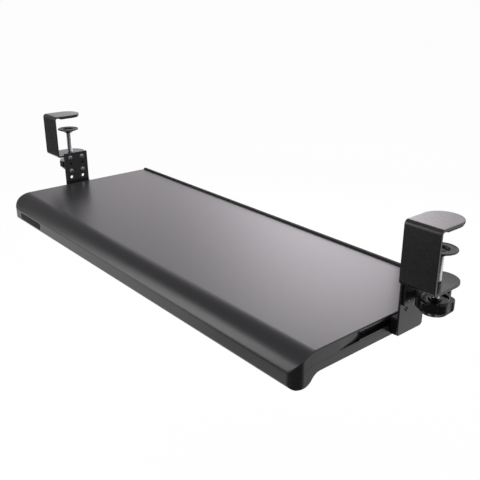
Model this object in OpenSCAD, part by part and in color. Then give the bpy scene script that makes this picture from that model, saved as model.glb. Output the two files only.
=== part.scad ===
// Clamp-on sliding keyboard tray: a moulded two-shell tray that runs on two rollers a side,
// carried by steel arms that bolt to screw clamps on a desk edge.
// Millimetres. Sizes below are given from the tray's front edge (y) and its top face (z);
// seat() then puts the origin under the middle of the part, at the lowest point of the lip.

/* [Tray] */
// Width of the tray
tray_w = 650; // [600:5:760]
// Depth of the tray, from lip to back edge
tray_d = 252; // [240:1:290]
// Wall of both moulded shells
shell_wall = 2.5; // [2:0.1:2.7]
// Depth of the top shell's skirt
skirt_h = 14.5; // [14.2:0.1:16]
// Height of the base shell that shows under the skirt
base_h = 11; // [8:0.5:13]
// Radius of the rolled front edge
nose_r = 31; // [26:0.5:36]
// Drop of the rolled edge, from the top face to the lip
lip_drop = 18.5; // [15:0.5:22]
// How far the lip hangs under the skirt
lip_foot = 4; // [3:0.1:5]
// Radius along the bottom of the lip
lip_round = 5; // [3:0.1:6]
// Where the lip starts to rise to the flat underside
lip_depth = 12.5; // [9:0.5:16]
// Length of the rise behind the lip
lip_rise_l = 22; // [18:0.5:28]
// Corner radius at the front ends, seen from above
front_corner = 9; // [4:0.5:14]
// Corner radius at the back ends, seen from above
back_corner = 3; // [1:0.5:6]
// Length of the rise of the underside at the back
ramp_l = 18; // [10:1:24]
// Back end of that rise, in from the tray's back edge
ramp_back = 48; // [30:1:60]

/* [Back stop and badge] */
// Height of the stop along the back edge
stop_h = 2.5; // [2:0.5:12]
// Depth of that stop
stop_d = 4; // [4:0.1:8]
// Slant of the stop's ends
stop_slant = 1.5; // [0.5:0.5:6]
// Depth of the seat that the stop lies in
stop_seat = 0.4; // [0.2:0.1:0.6]
// Tongue under the stop: its width, and its depth under the tray's top face
stop_tongue = 1.5; // [1:0.1:1.8]
// Width of the blank badge on the lip
badge_w = 68; // [40:1:90]
// Height of the badge
badge_h = 9.5; // [6:0.5:11]
// Thickness of the badge
badge_t = 0.8; // [0.6:0.1:1.2]
// How far the badge stands proud of the lip
badge_proud = 0.5; // [0.3:0.1:0.6]
// Left end of the badge, in from the left end of the tray
badge_in = 28; // [15:0.5:80]
// Lower edge of the badge's recess over the seam behind it
badge_up = 0.3; // [0.2:0.1:2]

/* [Slide] */
// Length of each side rail
rail_l = 156; // [120:1:165]
// Height of the rail
rail_h = 11.4; // [10.8:0.1:11.6]
// Depth of the rail into the tray's side
rail_depth = 7; // [6.5:0.1:10]
// Sheet of the rail
rail_t = 1.2; // [0.8:0.1:1.4]
// Top of the rail, below the tray's top face
rail_down = 1.6; // [1.5:0.1:2.4]
// Back end of the rail, in from the tray's back edge
rail_back = 6; // [5:0.5:12]
// Length of the sloping run-out in front of the rail
runout_l = 32; // [10:1:40]
// Length of the stop at each end of the rail
rail_stop_l = 3; // [2:0.5:6]
// Height of that stop over the rail's web
rail_stop_h = 3; // [2.5:0.1:4]
// Running clearance of a roller under and over its track
roller_gap = 0.2; // [0.15:0.05:0.4]
// Width of a roller
roller_w = 4.2; // [3:0.1:4.4]
// Distance between the two rollers of a side
roller_pitch = 26; // [20:1:32]
// Diameter of a roller's pin
pin_d = 3; // [2.5:0.1:3.5]
// Running clearance of the bore on its pin, on the radius
pin_gap = 0.05; // [0.02:0.01:0.1]
// Gap between the tray's side and the carriage
side_gap = 0.6; // [0.4:0.1:1.5]
// Thickness of the carriage
carriage_t = 8.4; // [6:0.2:12]

/* [Arms] */
// How far the right arm stands along its slide, back from the front stop
right_slide = 47.7; // [0.3:0.1:115.1]
// How far the left arm stands along its slide, back from the front stop
left_slide = 10.7; // [0.3:0.1:115.1]
// Width of an arm plate
arm_w = 42; // [38:1:44]
// Sheet of an arm
arm_t = 2.5; // [2:0.1:4]
// Top of an arm over the tray's top face
arm_up = 50; // [48:0.5:56]
// Bottom of an arm and its carriage under the tray's top face
arm_down = 20.5; // [18:0.5:25]
// Front edge of an arm, back from the clamp's front face
arm_in = 9.5; // [8:0.5:12]
// Corner radius of an arm's lower back corner
arm_corner = 4; // [2:0.5:6]
// Distance between the two columns of height holes
hole_pitch_y = 21; // [18:0.5:24]
// Distance between rows of height holes
hole_pitch_z = 11.25; // [10:0.25:11.5]
// Top row of holes over the tray's top face
hole_top = 42; // [41:0.25:43]
// Diameter of a height hole
hole_d = 5; // [4.5:0.1:5.5]
// Diameter of the machine screws
screw_d = 4; // [3:0.1:4.4]

/* [Clamps] */
// Width of a clamp
clamp_w = 42; // [40:1:50]
// Depth of a clamp's lower jaw
clamp_d = 58; // [54:1:70]
// Depth of its upper jaw
upper_jaw_d = 53; // [51:1:70]
// Sheet of a clamp
clamp_t = 3; // [2.5:0.1:4]
// Underside of a clamp's lower jaw over the tray's top face
clamp_low = 43; // [43:0.5:46]
// Height of a clamp, outside to outside
clamp_h = 69; // [64:0.5:80]
// Outside radius of the clamp's bends
bend_r = 5; // [4.2:0.1:8]
// Step from the arm's outer face to the clamp's inner edge
clamp_step = 2; // [1:0.1:2.8]
// Lower edge of the clamp's side flange over the tray's top face
flange_low = 14; // [13:0.5:16]
// Width of the side flange
flange_w = 37; // [34:0.5:38]
// Thickness of the pad under the upper jaw
pad_t = 2; // [1:0.5:4]
// Front edge of that pad, back from the clamp's front face
pad_in = 18; // [10:1:24]
// Margin of the pad inside the jaw's edge
pad_margin = 1; // [0.5:0.5:3]

/* [Clamp screws] */
// Diameter of the threaded rod
rod_d = 8; // [6:0.5:9]
// Running clearance of the thread, on the radius
thread_gap = 0.06; // [0.02:0.01:0.1]
// Rod's axis, back from the clamp's front face
rod_in = 33.5; // [30:0.5:35]
// Thickness of the weld nut under the lower jaw
nut_h = 5; // [4:0.5:5.5]
// Width of the weld nut across its flats
nut_af = 13; // [12.5:0.5:14]
// Diameter of a pressure disk
disk_d = 34; // [30:1:40]
// Height of a pressure disk
disk_h = 6.5; // [5.5:0.5:8]
// Top of the right pressure disk over the lower jaw
right_disk_up = 34.5; // [10:0.5:42]
// Top of the left pressure disk over the lower jaw
left_disk_up = 40; // [10:0.5:42]
// Distance from a disk's top down to its knob's top
knob_below = 54; // [51:0.2:56]
// Diameter of a knob
knob_d = 40; // [30:1:41]
// Height of a knob
knob_h = 16; // [12:0.5:18]
// Lobes around a knob
knob_lobes = 6; // [4:1:10]
// Gap between a knob and the clamp's side flange
knob_gap = 1; // [0.5:0.1:3]

/* [Hidden] */
$fn = 64;
SIDES = ["left", "right"];
TRAY_NODES = ["tray_top", "tray_base", "tray_screws", "back_stop", "front_badge"];
SIDE_NODES = [
    "rail", "rail_screws", "rail_stops",
    "arm", "arm_screws", "carriage", "carriage_screws", "roller_pins",
    "front_roller", "rear_roller",
    "clamp", "clamp_nut", "jaw_pad", "pressure_disk", "clamp_screw", "knob"
];

// Colours
moulded_black = [0.13, 0.13, 0.14];
coated_black = [0.07, 0.07, 0.075];
rubber_black = [0.03, 0.03, 0.03];
gloss_black = [0.05, 0.05, 0.05];
nylon_black = [0.05, 0.05, 0.055];
acetal_black = [0.06, 0.06, 0.065];
black_zinc = [0.1, 0.1, 0.105];
dark_nickel = [0.4, 0.4, 0.41];
zinc = [0.75, 0.76, 0.78];

// Cuts run this far past the face that they open
cut = 1;
// Clearance between fixed pieces that are dropped into each other
fit = 0.2;

// Tray levels and places
half_w = tray_w / 2;
seam_drop = lip_drop + skirt_h;
lip_low = seam_drop + lip_foot;
base_low = skirt_h + base_h;
nose_y = sqrt(pow(nose_r, 2) - pow(nose_r - lip_drop, 2));
deep = 2 * lip_low;
lip_rise_h = lip_low - base_low;
lip_arc = (pow(lip_rise_l / 2, 2) + pow(lip_rise_h / 2, 2)) / lip_rise_h;
ramp_end = tray_d - ramp_back;
ramp_start = ramp_end - ramp_l;
badge_corner = 2;
badge_sink = badge_t - badge_proud;
badge_low = badge_up - skirt_h - nose_r + sqrt(pow(nose_r, 2) - pow(nose_y - badge_sink, 2));

// Screw posts that hold the two shells together
post_mid_x = 110;
post_end_in = 58;
post_front_in = 25;
post_ramp_in = 18;
post_x = [post_mid_x, half_w - post_end_in];
post_y = [lip_depth + lip_rise_l + post_front_in, ramp_start - post_ramp_in];
post_d = 10;
post_split = 12;
post_screw_d = 3;
post_head_d = 6;
post_head_h = 2;
post_head_gap = 0.4;
post_sink = 2.6;
post_tip = 6;

// Rail in the tray's side
rail_z = -(rail_down + rail_h / 2);
rail_y1 = tray_d - rail_back;
rail_y0 = rail_y1 - rail_l;
rail_x0 = half_w - rail_depth;
track_h = rail_h - 2 * rail_t;
pocket_x = rail_x0 - shell_wall;
rail_stop_x = rail_x0 + rail_t + rail_stop_h;
rail_screw_d = 3;
rail_screw_l = 8;
rail_head_d = 5.4;
rail_screw_end = 12;
rail_screw_y = [rail_y0 + rail_screw_end, (rail_y0 + rail_y1) / 2, rail_y1 - rail_screw_end];
rail_post_d = 7;
rail_post_l = 8.5;

// Rollers on their pins, from the web of the rail outwards
pin_head_d = 5.5;
pin_head_t = 0.7;
pin_play = 0.1;
pin_head_x = rail_x0 + rail_t + fit;
roller_x0 = pin_head_x + pin_head_t + pin_play;
roller_x1 = roller_x0 + roller_w;
roller_d = track_h - 2 * roller_gap;
pin_boss_d = 5;

// Arms and carriages
carriage_x0 = half_w + side_gap;
arm_x0 = carriage_x0 + carriage_t;
arm_x1 = arm_x0 + arm_t;
arm_mid = arm_in + arm_w / 2;
arm_front_corner = 2;
slide_front = rail_y0 + rail_stop_l + (roller_d + roller_pitch) / 2 - arm_mid;
carriage_top = 1;
carriage_corner = 1.5;
carriage_screw_up = 4.5;
carriage_head_d = 8;
carriage_head_h = 2.2;
hole_rows = 4;
screwed_rows = [0, 2];
screw_head_d = 7.5;
screw_head_h = 2.4;

// Clamps
clamp_x0 = arm_x1 + clamp_step;
clamp_mid = clamp_x0 + clamp_w / 2;
clamp_top = clamp_low + clamp_h;
flange_corner = 3;
flange_y0 = arm_mid - flange_w / 2;
flange_y1 = arm_mid + flange_w / 2;
rod_x = arm_x1 + clamp_t + knob_gap + knob_d / 2;

// Clamp screws, measured from the top of the pressure disk
disk_rim_t = 1.5;
disk_dish_d = 16;
disk_flare = 1;
disk_floor = 3;
disk_hub_d = 13;
disk_hub_h = 1;
rod_shoulder = 1;
rod_neck_d = rod_d - 2 * rod_shoulder;
rivet_lip = 2;
rivet_d = rod_neck_d + 2 * rivet_lip;
rivet_t = 1.5;
disk_play = 0.1;
knob_chamfer = 6;
knob_edge = 1;
knob_dish_d = 28;
knob_dish = 2;
knob_hub_d = 14;
scallop_d = 16;
scallop_depth = 2.5;
rod_in_knob = 12;

// Front face of a clamp, back from the tray's front edge
function bracket_y(side) = slide_front + (side == "left" ? left_slide : right_slide);

// Top of a pressure disk over the tray's top face
function disk_z(side) = clamp_low + clamp_t + (side == "left" ? left_disk_up : right_disk_up);

// Puts the origin under the middle of the tray, level with the bottom of its lip
module seat() translate([0, -tray_d / 2, lip_low]) children();

// Mirrors a right-hand piece to the left side of the tray
module on_side(side) seat() mirror([side == "left" ? 1 : 0, 0, 0]) children();

// Carries a right-hand bracket piece, drawn from its clamp's front face, to its place on the slide
module on_bracket(side) on_side(side) translate([0, bracket_y(side), 0]) children();

// Carries a clamp-screw piece, drawn about the rod from the disk's top, to its place
module on_rod(side) on_bracket(side) translate([rod_x, rod_in, disk_z(side)]) children();

// Extrudes a side view, drawn as (y, z), along x between x0 and x1
module along_x(x0, x1)
    translate([x0, 0, 0]) rotate([90, 0, 90]) linear_extrude(x1 - x0) children();

// A round bar along x between x0 and x1
module bar_x(d, x0, x1) translate([x0, 0, 0]) rotate([0, 90, 0]) cylinder(d = d, h = x1 - x0);

// A box given by two corners
module box(a, b) translate(a) cube(b - a);

// A flat rectangle given by two corners
module flat(a, b) translate(a) square(b - a);

// A rectangle from a to b with its corner radii: at a, at the far x, at b, at the far y
module round_flat(a, b, r) {
    corners = [a, [b.x, a.y], b, [a.x, b.y]];
    inward = [[1, 1], [-1, 1], [-1, -1], [1, -1]];
    difference() {
        flat(a, b);
        for (i = [0:3])
            if (r[i] > 0) difference() {
                translate(corners[i] + inward[i] * r[i] / 2) square(r[i], center = true);
                translate(corners[i] + inward[i] * r[i]) circle(r[i]);
            }
    }
}

// Tray outlines

// Side view of everything under the rolled top face, or under that face moved in by a wall
module under_top(wall = 0) intersection() {
    flat([wall - cut, -deep], [tray_d + cut, 0]);
    union() {
        translate([nose_y, -nose_r]) circle(nose_r - wall, $fn = 128);
        flat([nose_y, -deep], [tray_d + cut, -wall]);
        flat([-cut, -deep], [nose_y, -nose_r]);
    }
}

// Side view of everything over the underside: lip, rise behind it, flat and rise at the back
module over_underside() {
    lip_mid = lip_depth + lip_rise_l / 2;
    lip_end = lip_depth + lip_rise_l;
    difference() {
        flat([0, -lip_low], [lip_depth, 0]);
        difference() {
            flat([0, -lip_low], [lip_round, lip_round - lip_low]);
            translate([lip_round, lip_round - lip_low]) circle(lip_round);
        }
    }
    intersection() {
        translate([lip_depth, lip_arc - lip_low]) circle(lip_arc, $fn = 128);
        flat([lip_depth, -lip_low], [lip_mid, lip_arc - lip_low]);
    }
    flat([lip_depth, lip_arc - lip_low], [lip_mid, 0]);
    difference() {
        flat([lip_mid, -base_low - lip_arc], [lip_end, 0]);
        translate([lip_end, -base_low - lip_arc]) circle(lip_arc, $fn = 128);
    }
    polygon([
        [lip_end, -base_low], [ramp_start, -base_low], [ramp_end, -skirt_h],
        [ramp_end, 0], [lip_end, 0]
    ]);
}

// Carries a side view of the tray across it and past both its ends, which the plan then cuts
module across() along_x(-half_w - cut, half_w + cut) children();

// Plan of the tray, drawn in by a margin
module tray_plan(margin = 0)
    round_flat(
        [-half_w + margin, margin], [half_w - margin, tray_d - margin],
        [front_corner - margin, front_corner - margin,
         max(back_corner - margin, 0), max(back_corner - margin, 0)]
    );

module plan_prism(margin = 0)
    translate([0, 0, -deep]) linear_extrude(2 * deep) tray_plan(margin);

// Does something at each screw post
module at_posts()
    for (x = post_x, y = post_y, s = [-1, 1])
        translate([s * x, y, 0]) children();

// Does something at each rail screw of both sides, drawn for the right side
module at_rail_screws()
    for (s = [0, 1], y = rail_screw_y)
        mirror([s, 0, 0]) translate([0, y, rail_z]) children();

// Plan of the recess that a rail lies in, with a run-out that slopes in to the front stop's outer face
module pocket_plan() {
    sunk = half_w - rail_stop_x;
    reach = runout_l * (sunk + cut) / sunk;
    polygon([
        [half_w + cut, rail_y0 - reach], [rail_stop_x, rail_y0], [rail_x0, rail_y0],
        [rail_x0, rail_y1], [half_w + cut, rail_y1]
    ]);
}

// Plan of the wall round that recess, in the right side of the shell
module pocket_wall_plan()
    polygon([
        [half_w - shell_wall, rail_y0 - runout_l], [rail_stop_x - shell_wall, rail_y0 - shell_wall],
        [pocket_x, rail_y0 - shell_wall],
        [pocket_x, rail_y1 + shell_wall], [half_w - shell_wall, rail_y1 + shell_wall]
    ]);

// Tray

module tray_top() color(moulded_black) seat() difference() {
    union() {
        difference() {
            intersection() {
                across() difference() {
                    under_top();
                    translate([0, -skirt_h]) under_top();
                }
                plan_prism();
            }
            intersection() {
                across() under_top(shell_wall);
                plan_prism(shell_wall);
            }
        }
        at_posts() translate([0, 0, -post_split])
            cylinder(d = post_d, h = post_split - shell_wall / 2);
        for (s = [0, 1]) mirror([s, 0, 0])
            translate([0, 0, -skirt_h]) linear_extrude(skirt_h - shell_wall / 2) pocket_wall_plan();
        at_rail_screws() bar_x(rail_post_d, pocket_x - rail_post_l, rail_x0);
    }
    for (s = [0, 1]) mirror([s, 0, 0])
        translate([0, 0, rail_z - rail_h / 2]) linear_extrude(rail_h) pocket_plan();
    at_rail_screws() bar_x(rail_screw_d, rail_x0 - rail_screw_l, half_w);
    at_posts() translate([0, 0, -post_split - cut])
        cylinder(d = post_screw_d, h = cut + post_split - post_tip);
    box([-half_w - cut, tray_d - stop_d - fit, -stop_seat], [half_w + cut, tray_d + cut, cut]);
    back_stop_tongue();
    badge_recess();
}

module tray_base() color(moulded_black) seat() difference() {
    union() {
        difference() {
            intersection() {
                across() intersection() {
                    over_underside();
                    translate([0, -skirt_h]) under_top();
                }
                plan_prism();
            }
            intersection() {
                across() translate([0, shell_wall]) over_underside();
                plan_prism(shell_wall);
            }
        }
        box([fit - pocket_x, ramp_end - ramp_l / 2, -skirt_h],
            [pocket_x - fit, tray_d - shell_wall - fit, shell_wall - skirt_h]);
        at_posts() translate([0, 0, -base_low]) cylinder(d = post_d, h = base_low - post_split);
    }
    at_posts() translate([0, 0, -base_low - cut]) {
        cylinder(d = post_screw_d + 2 * fit, h = base_low);
        cylinder(d = post_head_d + 2 * post_head_gap, h = cut + post_sink);
    }
}

module tray_screws() color(zinc) seat() at_posts() translate([0, 0, post_sink - base_low]) {
    translate([0, 0, -post_head_h]) cylinder(d = post_head_d, h = post_head_h);
    cylinder(d = post_screw_d, h = base_low - post_sink - post_tip);
}

// The tongue under the back stop, which is also the groove that it sits in
module back_stop_tongue() {
    y = tray_d - stop_d / 2;
    end = half_w - 2 * back_corner;
    box([-end, y - stop_tongue / 2, -stop_tongue], [end, y + stop_tongue / 2, cut]);
}

module back_stop() color(rubber_black) seat() {
    intersection() {
        translate([0, tray_d, 0]) rotate([90, 0, 0]) linear_extrude(stop_d) polygon([
            [-half_w, -stop_seat], [half_w, -stop_seat], [half_w, 0],
            [half_w - stop_slant, stop_h], [stop_slant - half_w, stop_h], [-half_w, 0]
        ]);
        plan_prism();
    }
    back_stop_tongue();
}

// Front view of the badge, low on the lip's front face
module badge_front()
    translate([badge_in - half_w, badge_low])
        round_flat([0, 0], [badge_w, badge_h], [for (i = [0:3]) badge_corner]);

module badge_recess()
    translate([0, badge_sink, 0]) rotate([90, 0, 0])
        linear_extrude(badge_t + cut) badge_front();

module front_badge() color(gloss_black) seat()
    translate([0, badge_sink, 0]) rotate([90, 0, 0])
        linear_extrude(badge_t) badge_front();

// Slide

// A countersunk head and its shank along x: the head's wide face at x1, the shank's tip at x0
module sunk_screw(d, head_d, head_h, x0, x1) {
    bar_x(d, x0, x1 - head_h);
    translate([x1 - head_h, 0, 0]) rotate([0, 90, 0]) cylinder(d1 = d, d2 = head_d, h = head_h);
}

module rail_screw()
    sunk_screw(rail_screw_d, rail_head_d, rail_t, rail_x0 - rail_screw_l, rail_x0 + rail_t);

module rail(side) color(coated_black) on_side(side) difference() {
    box([rail_x0, rail_y0, rail_z - rail_h / 2], [half_w, rail_y1, rail_z + rail_h / 2]);
    box([rail_x0 + rail_t, rail_y0 - cut, rail_z - track_h / 2],
        [half_w + cut, rail_y1 + cut, rail_z + track_h / 2]);
    for (y = rail_screw_y) translate([0, y, rail_z]) rail_screw();
}

module rail_screws(side) color(black_zinc) on_side(side)
    for (y = rail_screw_y) translate([0, y, rail_z]) rail_screw();

module rail_stops(side) color(nylon_black) on_side(side)
    for (y = [rail_y0, rail_y1 - rail_stop_l])
        box([rail_x0 + rail_t, y, rail_z - track_h / 2],
            [rail_stop_x, y + rail_stop_l, rail_z + track_h / 2]);

// Does something at the front (-1) or rear (1) roller, or both
module at_rollers(which = [-1, 1])
    for (w = which) translate([0, arm_mid + w * roller_pitch / 2, rail_z]) children();

module roller(side, which) color(acetal_black) on_bracket(side) at_rollers([which]) difference() {
    bar_x(roller_d, roller_x0, roller_x1);
    bar_x(pin_d + 2 * pin_gap, roller_x0 - cut, roller_x1 + cut);
}

module roller_pins(side) color(black_zinc) on_bracket(side) at_rollers() {
    bar_x(pin_head_d, pin_head_x, pin_head_x + pin_head_t);
    bar_x(pin_d, pin_head_x, arm_x0);
}

// Arms and carriages

// Does something at each carriage screw
module at_carriage_screws()
    for (s = [-1, 1])
        translate([0, arm_mid + s * roller_pitch / 2, carriage_screw_up - arm_down]) children();

module carriage_screw()
    mirror([1, 0, 0])
        sunk_screw(screw_d, carriage_head_d, carriage_head_h, -arm_x1, -carriage_x0);

module carriage(side) color(nylon_black) on_bracket(side) difference() {
    union() {
        along_x(carriage_x0, arm_x0) round_flat(
            [arm_in, -arm_down], [arm_in + arm_w, -carriage_top], [for (i = [0:3]) carriage_corner]);
        at_rollers() bar_x(pin_boss_d, roller_x1 + pin_play, carriage_x0 + cut);
    }
    at_rollers() bar_x(pin_d, roller_x1, arm_x0 + cut);
    at_carriage_screws() carriage_screw();
}

module carriage_screws(side) color(black_zinc) on_bracket(side)
    at_carriage_screws() carriage_screw();

// Does something at the height holes of the given rows
module at_height_holes(rows)
    for (r = rows, s = [-1, 1])
        translate([0, arm_mid + s * hole_pitch_y / 2, hole_top - r * hole_pitch_z]) children();

module arm(side) color(coated_black) on_bracket(side) difference() {
    along_x(arm_x0, arm_x1) round_flat(
        [arm_in, -arm_down], [arm_in + arm_w, arm_up],
        [arm_front_corner, arm_corner, arm_front_corner, arm_front_corner]);
    at_height_holes([0:hole_rows - 1]) bar_x(hole_d, arm_x0 - cut, arm_x1 + cut);
    at_carriage_screws() bar_x(screw_d, arm_x0 - cut, arm_x1 + cut);
}

module arm_screws(side) color(dark_nickel) on_bracket(side) at_height_holes(screwed_rows) {
    bar_x(screw_head_d, arm_x0 - screw_head_h, arm_x0);
    bar_x(screw_d, arm_x0 - screw_head_h, arm_x1 + clamp_t);
}

// Clamps

// Plan of a jaw of some depth: straight sides and a fully round back end, drawn in by a margin from front
module jaw_plan(depth, front = 0, margin = 0) {
    r = clamp_w / 2 - margin;
    flat([clamp_mid - r, front], [clamp_mid + r, depth - clamp_w / 2]);
    translate([clamp_mid, depth - clamp_w / 2]) circle(r, $fn = 128);
}

// Side view of the bent sheet: two jaws and the front plate between them, past both jaws' ends
module clamp_side() difference() {
    jaw_d = max(clamp_d, upper_jaw_d) + cut;
    round_flat([0, clamp_low], [jaw_d, clamp_top], [bend_r, 0, 0, bend_r]);
    round_flat([clamp_t, clamp_low + clamp_t], [jaw_d + cut, clamp_top - clamp_t],
        [bend_r - clamp_t, 0, 0, bend_r - clamp_t]);
}

// Front view of the flange that bends down from the lower jaw to meet the arm
module flange_front() {
    difference() {
        round_flat([arm_x1, flange_low], [clamp_mid, clamp_low + clamp_t], [0, 0, 0, clamp_t]);
        flat([arm_x1 + clamp_t, flange_low - cut], [clamp_mid + cut, clamp_low]);
    }
}

module clamp(side) color(coated_black) on_bracket(side) difference() {
    union() {
        intersection() {
            along_x(clamp_x0, clamp_x0 + clamp_w) clamp_side();
            union() {
                translate([0, 0, clamp_low - cut]) linear_extrude(clamp_h / 2 + cut) jaw_plan(clamp_d);
                translate([0, 0, clamp_low + clamp_h / 2])
                    linear_extrude(clamp_h / 2 + cut) jaw_plan(upper_jaw_d);
            }
        }
        intersection() {
            translate([0, flange_y1, 0]) rotate([90, 0, 0])
                linear_extrude(flange_w) flange_front();
            along_x(arm_x1, clamp_mid) round_flat(
                [flange_y0, flange_low], [flange_y1, clamp_low + clamp_t],
                [flange_corner, flange_corner, 0, 0]);
        }
    }
    at_height_holes(screwed_rows) bar_x(screw_d, arm_x1 - cut, arm_x1 + clamp_t + cut);
    translate([rod_x, rod_in, clamp_low - cut])
        cylinder(d = rod_d + 2 * thread_gap, h = clamp_t + 2 * cut);
}

module clamp_nut(side) color(coated_black) on_bracket(side)
    translate([rod_x, rod_in, clamp_low - nut_h]) difference() {
        cylinder(d = nut_af / cos(30), h = nut_h, $fn = 6);
        translate([0, 0, -cut]) cylinder(d = rod_d + 2 * thread_gap, h = nut_h + 2 * cut);
    }

module jaw_pad(side) color(rubber_black) on_bracket(side)
    translate([0, 0, clamp_top - clamp_t - pad_t]) linear_extrude(pad_t)
        jaw_plan(upper_jaw_d, pad_in, pad_margin);

// Clamp screws

module pressure_disk(side) color(black_zinc) on_rod(side) difference() {
    rotate_extrude($fn = 128) polygon([
        [0, -disk_floor], [disk_dish_d / 2, -disk_floor], [disk_dish_d / 2 + disk_flare, 0],
        [disk_d / 2, 0], [disk_d / 2, -disk_rim_t], [disk_hub_d / 2, disk_hub_h - disk_h],
        [disk_hub_d / 2, -disk_h], [0, -disk_h]
    ]);
    translate([0, 0, -disk_h - cut]) cylinder(d = rod_neck_d + 2 * thread_gap, h = disk_h + 2 * cut);
}

module clamp_screw(side) color(zinc) on_rod(side) {
    low = -knob_below - rod_in_knob;
    translate([0, 0, low]) cylinder(d = rod_d, h = -disk_h - disk_play - low);
    translate([0, 0, -disk_h - cut]) cylinder(d = rod_neck_d, h = disk_h + cut - disk_floor + disk_play);
    translate([0, 0, disk_play - disk_floor]) cylinder(d = rivet_d, h = rivet_t);
}

module knob(side) color(gloss_black) on_rod(side) translate([0, 0, -knob_below - knob_h]) difference() {
    r = knob_d / 2;
    rotate_extrude($fn = 128) polygon([
        [0, 0], [r - knob_chamfer, 0], [r, knob_chamfer],
        [r, knob_h - knob_edge], [r - knob_edge, knob_h],
        [knob_dish_d / 2, knob_h], [knob_dish_d / 2 - knob_edge, knob_h - knob_dish],
        [knob_hub_d / 2, knob_h - knob_dish], [knob_hub_d / 2, knob_h], [0, knob_h]
    ]);
    for (i = [0:knob_lobes - 1]) rotate(i * 360 / knob_lobes)
        translate([r + scallop_d / 2 - scallop_depth, 0, -cut])
            cylinder(d = scallop_d, h = knob_h + 2 * cut);
    translate([0, 0, knob_h - rod_in_knob]) cylinder(d = rod_d, h = rod_in_knob + cut);
}

// What is drawn

tray_top();
tray_base();
tray_screws();
back_stop();
front_badge();
for (s = SIDES) {
    rail(s);
    rail_screws(s);
    rail_stops(s);
    arm(s);
    arm_screws(s);
    carriage(s);
    carriage_screws(s);
    roller_pins(s);
    roller(s, -1);
    roller(s, 1);
    clamp(s);
    clamp_nut(s);
    jaw_pad(s);
    pressure_disk(s);
    clamp_screw(s);
    knob(s);
}
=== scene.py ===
"""A clamp-on sliding keyboard tray: the surfaces, finishes and stage that dress its construction."""

import bmesh
import bpy
import numpy as np
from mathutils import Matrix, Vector
from mathutils.geometry import tessellate_polygon


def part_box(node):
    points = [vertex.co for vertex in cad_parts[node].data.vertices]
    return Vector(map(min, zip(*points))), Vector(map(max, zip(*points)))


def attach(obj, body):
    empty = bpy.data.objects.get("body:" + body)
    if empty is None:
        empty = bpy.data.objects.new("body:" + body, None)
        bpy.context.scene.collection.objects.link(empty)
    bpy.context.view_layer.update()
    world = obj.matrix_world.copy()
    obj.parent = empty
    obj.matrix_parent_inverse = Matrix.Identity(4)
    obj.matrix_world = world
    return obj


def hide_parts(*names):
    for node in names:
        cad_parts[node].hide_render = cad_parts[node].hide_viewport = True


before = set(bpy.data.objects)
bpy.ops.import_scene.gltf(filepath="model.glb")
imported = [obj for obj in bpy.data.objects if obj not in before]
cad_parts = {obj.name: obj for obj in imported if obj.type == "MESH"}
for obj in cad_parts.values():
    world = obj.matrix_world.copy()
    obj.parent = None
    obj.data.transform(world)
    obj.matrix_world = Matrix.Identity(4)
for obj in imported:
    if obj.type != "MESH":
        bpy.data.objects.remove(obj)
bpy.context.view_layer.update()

bl_info = {
    "name": "Clamp-on keyboard tray",
    "version": (1, 0, 0),
    "blender": (4, 5, 0),
    "location": "View3D > Sidebar > Tray",
    "description": "Builds the surfaces, finishes and stage of a sliding keyboard tray",
    "category": "Add Mesh",
}

SIDES = (("left", -1.0), ("right", 1.0))
# Directions: to the right along the tray's width, from its front to its back, and up
X, Y, Z = np.eye(3)

# Points closer than this are one point
MERGE = 2e-6
# Two faces that meet at more than this angle share a sharp edge
SHARP_ANGLE = np.radians(38)
# Radius of a corner that is left square
SQUARE = 1e-4
# Offset that keeps two faces out of one plane, and how far a sunk head stands proud for the same reason
APART, PROUD = 2e-5, 1e-5
# How far a shank reaches into its head, and a rod's neck into the rod
SHANK_ROOT, NECK_ROOT = 1e-4, 5e-4
# Length of the steps at a rail recess's ends
STEP = 3e-4
# Shares of a shell wall's height that the roundings at its face and at its rim may take
FACE_SHARE, RIM_SHARE = 0.45, 0.3
# Driver recesses: half length and half width in head diameters, depth in head heights, and the slope of the
# walls in half widths
PAN_RECESS = (0.29, 0.085, 0.55)
SUNK_RECESS = (0.3, 0.09, 0.6)
RECESS_SLOPE = 0.45


# Properties


def length(name, description, default):
    """A length in metres."""
    return bpy.props.FloatProperty(
        name=name, description=description, default=default, min=0.0, unit="LENGTH", precision=5
    )


def factor(name, description, default, top=1.0):
    """A plain number from zero to a top value."""
    return bpy.props.FloatProperty(name=name, description=description, default=default, min=0.0, max=top)


def colour(name, description, default):
    """A linear colour."""
    return bpy.props.FloatVectorProperty(
        name=name, description=description, default=default, subtype="COLOR", size=3, min=0.0, max=1.0
    )


def angle(name, description, degrees):
    """An angle, kept in radians."""
    return bpy.props.FloatProperty(
        name=name, description=description, default=np.radians(degrees), unit="ROTATION"
    )


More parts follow.
